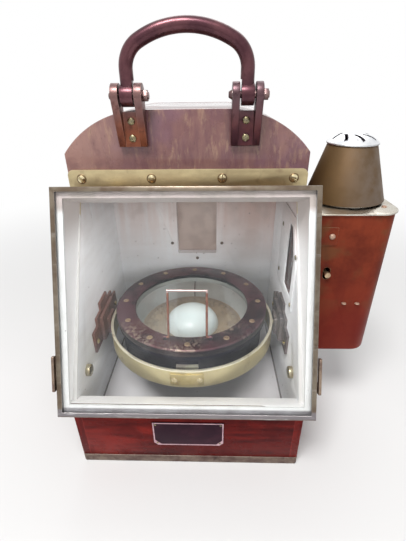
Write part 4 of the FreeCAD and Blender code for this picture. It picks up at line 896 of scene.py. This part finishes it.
def cover_screws():
    """Two domed heads on each bent cover plate, square to its curve."""
    low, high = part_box("pivot_cover_plates")
    centre = Vector((0, bowl_middle.y, (low.z + high.z) / 2))
    radius = (high.y - low.y) / 2
    made = bmesh.new()
    side_in, sunk, head_radius, head_height = 4.5 * MM, 0.1 * MM, 3.1 * MM, 1.4 * MM
    lean = math.asin((high.x - side_in) / radius)
    for front in (0, math.pi):
        for angle in (-lean, lean):
            outward = Vector((math.sin(front + angle), -math.cos(front + angle), 0))
            head = domed_head(head_radius, head_height)
            stand_on(head, centre + outward * (radius - sunk), outward, math.radians(40 + 90 * angle))
            merge(made, head)
    return add_piece("cover_screws", made, screw_brass, "gimbal")


cover_screws()
bezel_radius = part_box("bezel_ring")[1].x


def bowl_finish():
    """Blue-black enamel outside, pale grey-green inside, bare brass on the two lugs."""
    finish = Finish("bowl_enamel", Coat_Roughness=0.2, Specular_IOR_Level=0.08)
    inside = finish.faces(bowl_middle)
    cloud = finish.noise(32, 5, 0.6)
    black = finish.mix(cloud.ramp(0.4, 0.7), (0.007, 0.008, 0.020), (0.018, 0.014, 0.024))
    pale = finish.mix(cloud.ramp(0.35, 0.7), (0.66, 0.70, 0.67), (0.55, 0.56, 0.53))
    brass = finish.mix(cloud.ramp(0.4, 0.6), (0.40, 0.39, 0.30), (0.26, 0.24, 0.20))
    lug = finish.radius_from(bowl_middle) > bezel_radius - 0.6 * MM
    colour = finish.mix(lug, finish.mix(inside, black, pale), brass)
    return finish.made(colour, (cloud * 0.2 + 0.42 + inside * 0.05).clamped(), cloud, 0.05,
                       Metallic=lug * 0.8, Coat_Weight=0.04 - inside * 0.02)


def bezel_finish():
    """Plum-brown bronze on the bezel's face, with painted shade turning its side blue-black."""
    finish = Finish("bezel_bronze", metallic=0.6, Coat_Weight=0.12, Coat_Roughness=0.08)
    cloud = finish.noise(30, 6, 0.62)
    fine = finish.noise(260, 3, 0.6)
    # Painted shade: faces that turn sideways are darkened to blue-black, with reddish patches.
    side = finish.parts(finish.normal())[2].ramp(0.55, 0.15)
    face = finish.mix(cloud.ramp(0.40, 0.60), (0.110, 0.048, 0.062), (0.022, 0.012, 0.019))
    face = finish.mix(finish.stain(14, 0.5, 0.66) * 0.55, face, (0.135, 0.050, 0.052))
    worn = finish.stain(24, 0.42, 0.58, detail=7) * finish.noise(260, 4, 0.7).ramp(0.46, 0.58)
    scuff_front, scuff_back = bowl_middle.y - 66 * MM, bowl_middle.y - 30 * MM
    scuffed = worn * (1 - finish.axis("Y").ramp(scuff_front, scuff_back))
    face = finish.mix(scuffed * 0.8, face, (0.40, 0.32, 0.25))
    reddish = finish.stain(11, 0.46, 0.6) * 0.7
    face = finish.mix(side * 0.9, face, finish.mix(reddish, (0.006, 0.006, 0.014), (0.040, 0.010, 0.014)))
    rubbed = finish.worn_edges(0.9 * MM, 0.9)
    face = finish.mix((rubbed * cloud * 0.8).clamped(), face, (0.24, 0.13, 0.11))
    return finish.made(face, (0.24 + cloud * 0.25 + (fine - 0.5) * 0.1).clamped(), fine * 0.4 + cloud, 0.12)


eased("compass_bowl", 0.5, bowl_finish(), angle=math.radians(40))
eased("bezel_ring", 0.5, bezel_finish())
ballast_lead = aged_metal("ballast_lead", (0.20, 0.20, 0.21), (0.13, 0.13, 0.14), (0.07, 0.07, 0.07), 0.5, 60)
eased("bowl_ballast", 0.4, ballast_lead)
heads_of("bezel_screws", UPWARD, worn_screw)
post_brass = aged_metal("post_brass", (0.55, 0.46, 0.24), (0.40, 0.31, 0.17), (0.2, 0.14, 0.08), 0.3, 200)
eased("pivot_post", 0.2, post_brass)
eased("lubber_line", 0.15, enamel("lubber_black", (0.03, 0.03, 0.03), (0.05, 0.05, 0.05)))
eased("jewel_cap", 0.3, post_brass)
eased("card_magnets", 0.4, enamel("magnet_enamel", (0.25, 0.24, 0.20), (0.16, 0.15, 0.13)))
sight_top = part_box("sight_frame")[1].z
# The tone paints a highlight along the frame's top bar.
sight_copper = aged_metal("sight_copper", (0.38, 0.175, 0.115), (0.26, 0.10, 0.075), (0.14, 0.05, 0.045), 0.3,
                          150, edge=(0.62, 0.42, 0.34),
                          tone=(sight_top - 3.4 * MM, sight_top - 2.4 * MM, (0.66, 0.52, 0.50), 0.9))
eased("sight_frame", 0.2, sight_copper)

# Painted shadow: low down the brackets take the purple-grey of the shadow they cast on the wall.
FOOT_SHADOW_HEIGHTS = (0.125, 0.105)
warm_bracket = aged_metal("warm_bracket", (0.30, 0.15, 0.12), (0.20, 0.10, 0.085), (0.10, 0.065, 0.035), 0.4, 40,
                          metallic=0.6, edge=(0.50, 0.36, 0.22), tone=(*FOOT_SHADOW_HEIGHTS, (0.34, 0.25, 0.27), 0.7))
cool_bracket = aged_metal("cool_bracket", (0.24, 0.21, 0.19), (0.13, 0.115, 0.12), (0.05, 0.04, 0.045), 0.4, 40,
                          metallic=0.6, edge=(0.42, 0.36, 0.28), tone=(*FOOT_SHADOW_HEIGHTS, (0.36, 0.29, 0.30), 0.7))
eased("gimbal_bracket_left", 0.6, warm_bracket)
eased("gimbal_bracket_right", 0.6, cool_bracket)
finish_node("gimbal_bracket_screws", screw_brass)


def card_finish():
    """Tan card, mottled olive, a little darker where its scale is printed."""
    finish = Finish("card_paper")
    cloud = finish.noise(40, 5, 0.6)
    band = finish.radius_from(bowl_middle).ramp(50 * MM, 52 * MM)
    colour = finish.mix(cloud.ramp(0.4, 0.7), (0.33, 0.235, 0.135), (0.235, 0.160, 0.085))
    colour = finish.mix(finish.stain(75, 0.44, 0.70, detail=7) * 0.7, colour, (0.16, 0.12, 0.06))
    colour = finish.mix(band * 0.5, colour, (0.25, 0.18, 0.10))
    return finish.made(colour, (cloud * 0.2 + 0.45).clamped(), cloud, 0.05, 0.2)


finish_node("compass_card", card_finish())
MARK_RISE = 0.06  # millimetres


def flat_shape(made, outline):
    """Thin raised mark with an outline of (x, y) points."""
    low = [made.verts.new((x, y, 0)) for x, y in outline]
    high = [made.verts.new((x, y, MARK_RISE * MM)) for x, y in outline]
    made.faces.new(low[::-1])
    made.faces.new(high)
    join_loops(made, [low, high])


def number_mesh(text, size):
    """Mesh of a plain number, as thick as the other marks."""
    curve = bpy.data.curves.new("number", "FONT")
    curve.body = text
    curve.size = size
    curve.align_x = "CENTER"
    curve.align_y = "CENTER"
    curve.extrude = MARK_RISE / 2 * MM
    curve.resolution_u = 3
    holder = bpy.data.objects.new("number", curve)
    mesh = bpy.data.meshes.new_from_object(holder)
    bpy.data.objects.remove(holder)
    bpy.data.curves.remove(curve)
    return mesh


def card_marks():
    """Printed degree scale: ticks, two rings, plain numbers every 30 degrees and a north mark."""
    low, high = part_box("compass_card")
    centre = Vector(((low.x + high.x) / 2, (low.y + high.y) / 2, high.z))
    edge = (high.x - low.x) / 2 / MM
    tick_end, long_tick, short_tick = edge - 3, (10.0, 0.65), (6.5, 0.38)
    ring_insets, ring_width, ring_steps = (11.4, 2.4), 0.5, 96
    number_inset, number_size, north_inset = 16.5, 9.5, 20.8
    made = bmesh.new()
    for degree in range(0, 360, 2):
        tick, half = long_tick if degree % 10 == 0 else short_tick
        turn = Matrix.Rotation(-math.radians(degree), 2)
        corners = ((-half, edge - tick), (half, edge - tick), (half, tick_end), (-half, tick_end))
        flat_shape(made, [turn @ Vector(corner) * MM for corner in corners])
    for radius in (edge - inset for inset in ring_insets):
        outer = radius + ring_width
        rims = [[made.verts.new((r * MM * math.cos(a), r * MM * math.sin(a), z * MM))
                 for a in (2 * math.pi * i / ring_steps for i in range(ring_steps))]
                for r, z in ((radius, 0), (radius, MARK_RISE), (outer, MARK_RISE), (outer, 0))]
        join_loops(made, rims + rims[:1])
    for degree in range(0, 360, 30):
        mesh = number_mesh(str(degree), number_size * MM)
        at = Matrix.Translation((0, (edge - number_inset) * MM, MARK_RISE / 2 * MM))
        mesh.transform(Matrix.Rotation(-math.radians(degree), 4, "Z") @ at)
        made.from_mesh(mesh)
        bpy.data.meshes.remove(mesh)
    tip, half, height = (edge - north_inset) * MM, 3.0 * MM, 6.2 * MM
    flat_shape(made, [(0, tip), (-half, tip - height), (half, tip - height)])
    bmesh.ops.recalc_face_normals(made, faces=made.faces)
    made.transform(Matrix.Translation(centre))
    ink = enamel("card_ink", (0.03, 0.014, 0.010), (0.055, 0.028, 0.02), 0.6, 0.0, 0.1)
    return add_piece("card_marks", made, ink, "card")


card_marks()


def float_dome():
    """Hollow domed float, spun smooth."""
    low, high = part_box("card_float")
    radius = (high.x - low.x) / 2
    rise = high.z - low.z
    wall = 1.2 * MM
    centre = Vector(((low.x + high.x) / 2, (low.y + high.y) / 2, low.z))
    steps = 14
    angles = [math.pi / 2 * step / steps for step in range(steps)]
    outer, inner = ([(r * math.cos(a), h * math.sin(a)) for a in angles] + [(0, h)]
                    for r, h in ((radius, rise), (radius - wall, rise - wall)))
    made = lathe(inner[::-1] + outer, centre, 96)
    bmesh.ops.recalc_face_normals(made, faces=made.faces)
    pearl = enamel("float_enamel", (0.88, 0.99, 0.98), (0.80, 0.94, 0.94), 0.3)
    return add_piece("card_float_spun", made, pearl, "card", ["card_float"])


float_dome()

# ------------------------------------------------------------------ lamp
LAMP_RED_REFLECTION = (0.12, 0.24)
WICK_BURN = (0.222, 0.234)
CHIMNEY_SHEEN_SPAN = (0.135, 0.195)


def fired_paint():
    """Orange-brown paint of the lamp housing, olive where the heat darkened it, with a painted red reflection
    low down.
    """
    finish = Finish("lamp_paint", Coat_Roughness=0.12, Specular_IOR_Level=0.06)
    cloud = finish.noise(26, 6, 0.62)
    drips = finish.streaks((70, 70, 9), 5)
    # Painted red reflection, strongest low down.
    low = 1 - finish.axis("Z").ramp(*LAMP_RED_REFLECTION)
    colour = finish.mix(cloud.ramp(0.38, 0.66), (0.165, 0.031, 0.014), (0.095, 0.017, 0.009))
    colour = finish.mix(drips.ramp(0.45, 0.75) * 0.5, colour, (0.095, 0.016, 0.010))
    colour = finish.mix(low * 0.5, colour, (0.17, 0.011, 0.009))
    olive = finish.stain(38, 0.48, 0.64) * (1 - low) * 0.6
    colour = finish.mix(olive, colour, (0.105, 0.052, 0.022))
    chips = (finish.worn_edges(0.9 * MM, 1.0) * cloud.ramp(0.4, 0.6)).clamped()
    colour = finish.mix(chips, colour, (0.40, 0.30, 0.18))
    return finish.made(colour, (0.30 + cloud * 0.2).clamped(), cloud + finish.noise(400, 2) * 0.3, 0.12,
                       Metallic=chips * 0.8, Coat_Weight=0.01 * (1 - chips))


lamp_red = fired_paint()
eased("lamp_housing", 0.35, lamp_red)
lid_brass = aged_metal("lid_brass", (0.60, 0.57, 0.50), (0.44, 0.39, 0.32), (0.24, 0.19, 0.15), 0.24, 36,
                       edge=(0.92, 0.90, 0.86))
eased("lamp_top_plate", 0.45, lid_brass)
rail_brass = aged_metal("rail_brass", (0.34, 0.26, 0.17), (0.21, 0.15, 0.11), (0.10, 0.06, 0.05), 0.4, 60)
eased("lamp_rails", 0.3, rail_brass)
eased("lamp_slide_plate", 0.3, rail_brass)
rivet_copper = aged_metal("rivet_copper", (0.50, 0.35, 0.26), (0.36, 0.22, 0.16), (0.15, 0.07, 0.05), 0.34, 150,
                          metallic=0.5, edge=(0.75, 0.62, 0.50))


def lamp_fixings():
    """Domed rivets on the housing and its lid, and the small patch plate with its own rivet."""
    widest_rivet, thick, corner = 5 * MM, 1.0 * MM, 1.2 * MM
    front, lid, plates = [], [], []
    for centre, half in islands("lamp_rivets"):
        if max(half) > widest_rivet:
            plates.append((centre, half))
        elif half.z < half.x:
            lid.append(centre - UPWARD * half.z)
        else:
            front.append(centre - FORWARD * half.y)
    made = bmesh.new()
    for centre, half in plates:
        back = centre.y + half.y
        face = back - thick
        thin = bmesh.new()
        bmesh.ops.create_cube(thin, size=1.0)
        size = Vector((half.x * 2, back - face, half.z * 2))
        at = Matrix.Translation((centre.x, (back + face) / 2, centre.z))
        thin.transform(at @ Matrix.Diagonal((*size, 1)))
        upright = [e for e in thin.edges if abs(e.verts[0].co.y - e.verts[1].co.y) > thick / 2]
        bmesh.ops.bevel(thin, geom=upright, offset=corner, segments=3, profile=0.5, affect="EDGES")
        ease_edges(thin, 0.2 * MM, 2, 60)
        merge(made, thin)
        front.append(Vector((centre.x + half.x * 0.4, face, centre.z)))
    add_piece("lamp_patch", made, lamp_red, "lamp", ["lamp_rivets"])
    screw_group("lamp_front_rivets", front, FORWARD, 3.0 * MM, 2.0 * MM, rivet_copper, "lamp", cut=False)
    screw_group("lamp_lid_rivets", lid, UPWARD, 2.6 * MM, 1.4 * MM, rivet_copper, "lamp", cut=False)


lamp_fixings()
font_brass = aged_metal("font_brass", (0.42, 0.36, 0.20), (0.28, 0.22, 0.13), (0.13, 0.09, 0.06), 0.4, 60)
eased("oil_font", 0.6, font_brass)
eased("lamp_burner", 0.4, font_brass)
eased("wick_spindle", 0.3, worn_screw)


def wick_finish():
    """Woven cotton, burnt at its upper end."""
    finish = Finish("wick_cotton")
    wave = finish.node("ShaderNodeTexWave", {"wave_type": "BANDS", "bands_direction": "Z"},
                       {"Vector": finish.place(), "Scale": 420.0, "Distortion": 1.5})
    burnt = finish.axis("Z").ramp(*WICK_BURN)
    colour = finish.mix(wave, (0.62, 0.56, 0.44), (0.50, 0.44, 0.33))
    return finish.made(finish.mix(burnt * 0.85, colour, (0.04, 0.03, 0.03)), 0.9, wave, 0.4)


finish_node("lamp_wick", wick_finish())


def chimney_finish():
    """Heat-tinted sheet brass with upright streaks and a painted grey sheen towards the right."""
    finish = Finish("chimney_brass", metallic=0.85)
    runs = finish.streaks((60, 60, 9), 6)
    cloud = finish.noise(24, 5, 0.6)
    # Painted sheen: the brass turns greyer towards the right, where it catches the light.
    across = finish.axis("X").ramp(*CHIMNEY_SHEEN_SPAN)
    colour = finish.mix(runs.ramp(0.30, 0.75) * 0.6, (0.128, 0.072, 0.027), (0.100, 0.058, 0.026))
    colour = finish.mix(across * cloud.ramp(0.25, 0.55), colour, (0.190, 0.150, 0.122))
    colour = finish.mix(finish.stain(46, 0.44, 0.66, detail=6) * 0.6, colour, (0.110, 0.066, 0.030))
    return finish.made(colour, (0.60 + cloud * 0.10).clamped(), cloud, 0.02)


def chimney_cone():
    """Tapered sheet funnel with rolled rims and the inner ledge that rests on the lid's collar."""
    low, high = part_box("chimney_cone")
    cap_low, cap_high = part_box("chimney_cap")
    centre = Vector(((low.x + high.x) / 2, (low.y + high.y) / 2, low.z))
    sheet, overhang, ledge_width, roll = 1.0 * MM, 1.2 * MM, 6.0 * MM, 0.4 * MM
    base, rise = (high.x - low.x) / 2, high.z - low.z
    top = (cap_high.x - cap_low.x) / 2 - overhang
    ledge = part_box("lamp_top_plate")[1].z - low.z
    wall = base - (base - top) * ledge / rise - sheet
    inward = wall - ledge_width
    profile = [(base - roll, 0), (base, roll), (top, rise - roll), (top - roll, rise), (top - sheet, rise),
               (wall, ledge + sheet), (inward, ledge + sheet), (inward, ledge), (wall, ledge), (base - sheet, 0),
               (base - roll, 0)]
    made = lathe(profile, centre, 96)
    bmesh.ops.remove_doubles(made, verts=made.verts, dist=0.001 * MM)
    bmesh.ops.recalc_face_normals(made, faces=made.faces)
    return add_piece("chimney_spun", made, chimney_finish(), "chimney",
                     ["chimney_cone"])


chimney_cone()


def cap_finish():
    """White tinned cap with painted shade along its swept slots."""
    finish = Finish("cap_tin", metallic=0.9)
    low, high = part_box("chimney_cap")
    centre, rim = (low + high) / 2, (high.x - low.x) / 2
    slots, sweep = 8, math.radians(32)
    half_length, half_width, bend, shift = rim * 0.26, 1.7 * MM, 22, 0.3 * MM
    x, y, _ = finish.parts(finish.out_from(centre))
    radius = (x * x + y * y).maths("SQRT")
    sector = 2 * math.pi / slots
    turn = (y.maths("ARCTAN2", x) + sector / 2).maths("FLOORED_MODULO", sector) - sector / 2
    along = radius * turn.maths("COSINE") - rim * 0.62
    across = radius * turn.maths("SINE")
    u = along * math.cos(sweep) + across * math.sin(sweep)
    v = across * math.cos(sweep) - along * math.sin(sweep)
    # Painted shade in the swept slots.
    slot = ((v + u * u * bend - shift).size() < half_width) * (u.size() < half_length)
    cloud = finish.noise(60, 5, 0.6)
    tin = finish.mix(cloud.ramp(0.38, 0.66), (0.84, 0.85, 0.86), (0.68, 0.70, 0.73))
    tin = finish.mix(finish.stain(138, 0.58, 0.74) * 0.6, tin, (0.36, 0.34, 0.34))
    return finish.made(finish.mix(slot * 0.95, tin, (0.020, 0.014, 0.022)),
                       (0.25 + cloud * 0.15 + slot * 0.3).clamped(), cloud, 0.08, 0.25)


eased("chimney_cap", 0.3, cap_finish(), angle=math.radians(40))


# ------------------------------------------------------------------ camera, floor and light
def white_far_away(finish):
    """Away from the object the floor turns into the white of the backdrop, for the camera alone."""
    far = finish.vectors("LENGTH", finish.place(), (0, 0, 0), "Value").ramp(*GROUND_FADE)
    seen = finish.node("ShaderNodeLightPath", output="Is Camera Ray")
    glow = finish.node("ShaderNodeEmission", {}, {"Strength": 1.0})
    plain = Socket(finish, finish.shader.outputs[0])
    both = finish.node("ShaderNodeMixShader", {}, {0: far * seen, 1: plain, 2: glow})
    finish.feed(finish.output.inputs["Surface"], both)


def pale_floor(colour):
    """Wide plain ground that stages the part."""
    half = 6.0
    made = bmesh.new()
    bmesh.ops.create_grid(made, x_segments=1, y_segments=1, size=half)
    mesh = bpy.data.meshes.new("floor")
    made.to_mesh(mesh)
    made.free()
    floor = bpy.data.objects.new("floor", mesh)
    bpy.context.scene.collection.objects.link(floor)
    finish = Finish("ground_paint", roughness=0.9)
    finish.set(Base_Color=finish.mix(finish.noise(3, 3) * 0.2, colour, tuple(c * 0.97 for c in colour)))
    white_far_away(finish)
    mesh.materials.append(finish.material)


def soft_light(name, place, target, width, height, watts, colour=(1, 1, 1)):
    """Rectangular lamp at a place, aimed at a target."""
    lamp = bpy.data.lights.new(name, "AREA")
    lamp.shape = "RECTANGLE"
    lamp.size = width
    lamp.size_y = height
    lamp.energy = watts
    lamp.color = colour
    light = bpy.data.objects.new(name, lamp)
    light.location = place
    light.rotation_euler = (Vector(target) - Vector(place)).to_track_quat("-Z", "Y").to_euler()
    bpy.context.scene.collection.objects.link(light)
    return light


def pale_world(lighting, shown):
    """Even light of one strength, which the camera, mirrors and glass see at another."""
    world = bpy.data.worlds.new("pale_room")
    bpy.context.scene.world = world
    room = Graph(world)
    room.tree.nodes.clear()
    camera, glossy, through = (room.node("ShaderNodeLightPath", output=f"Is {kind} Ray")
                               for kind in ("Camera", "Glossy", "Transmission"))
    seen = camera.maths("MAXIMUM", glossy.maths("MAXIMUM", through))
    glow, plain = (room.node("ShaderNodeBackground", {}, {"Color": (1, 1, 1, 1), "Strength": strength})
                   for strength in (lighting, shown))
    both = room.node("ShaderNodeMixShader", {}, {0: seen, 1: glow, 2: plain})
    out = room.tree.nodes.new("ShaderNodeOutputWorld")
    room.feed(out.inputs["Surface"], both)


def camera_at(place, down, turn, roll, focal):
    """Camera from a place, with its pitch down, its turn about Z and its roll, in degrees."""
    pitch, yaw, lean = (math.radians(a) for a in (down, turn, roll))
    forward = Vector((math.sin(yaw) * math.cos(pitch), math.cos(yaw) * math.cos(pitch), -math.sin(pitch)))
    right = Vector((math.cos(yaw), -math.sin(yaw), 0))
    upward = right.cross(forward)
    level = right * math.cos(lean) + upward * math.sin(lean)
    top = upward * math.cos(lean) - right * math.sin(lean)
    data = bpy.data.cameras.new("view")
    data.sensor_fit = "VERTICAL"
    data.sensor_height = 36
    data.lens = focal
    data.clip_start = 0.01
    camera = bpy.data.objects.new("view", data)
    bpy.context.scene.collection.objects.link(camera)
    columns = Matrix((level, top, -forward)).transposed()
    camera.matrix_world = Matrix.Translation(Vector(place)) @ columns.to_4x4()
    bpy.context.scene.camera = camera


camera_at((0.02676, -0.3592, 0.38127), down=28.46, turn=-1.96, roll=-0.84, focal=23.08)
pale_floor((0.72, 0.72, 0.72))
pale_world(0.36, 1.0)
soft_light("key", (-0.25, -0.78, 1.78), (0, -0.02, 0.2), 0.7, 0.5, 30, (1.0, 0.99, 0.98))
soft_light("hood_glow", (0, -0.030, 0.262), (0, -0.055, 0.12), 0.12, 0.05, 0.075).visible_glossy = False
soft_light("back", (0.3, 1.3, 1.6), (0, 0, 0.25), 1.6, 1.0, 9)
soft_light("right_fill", (0.75, -1.15, 0.62), (0, -0.02, 0.16), 0.6, 0.5, 5).visible_glossy = False
soft_light("left_fill", (-0.75, -1.15, 0.62), (0, -0.02, 0.16), 0.6, 0.5, 3.5).visible_glossy = False

bpy.context.scene.view_settings.view_transform = "Standard"
bpy.context.view_layer.update()
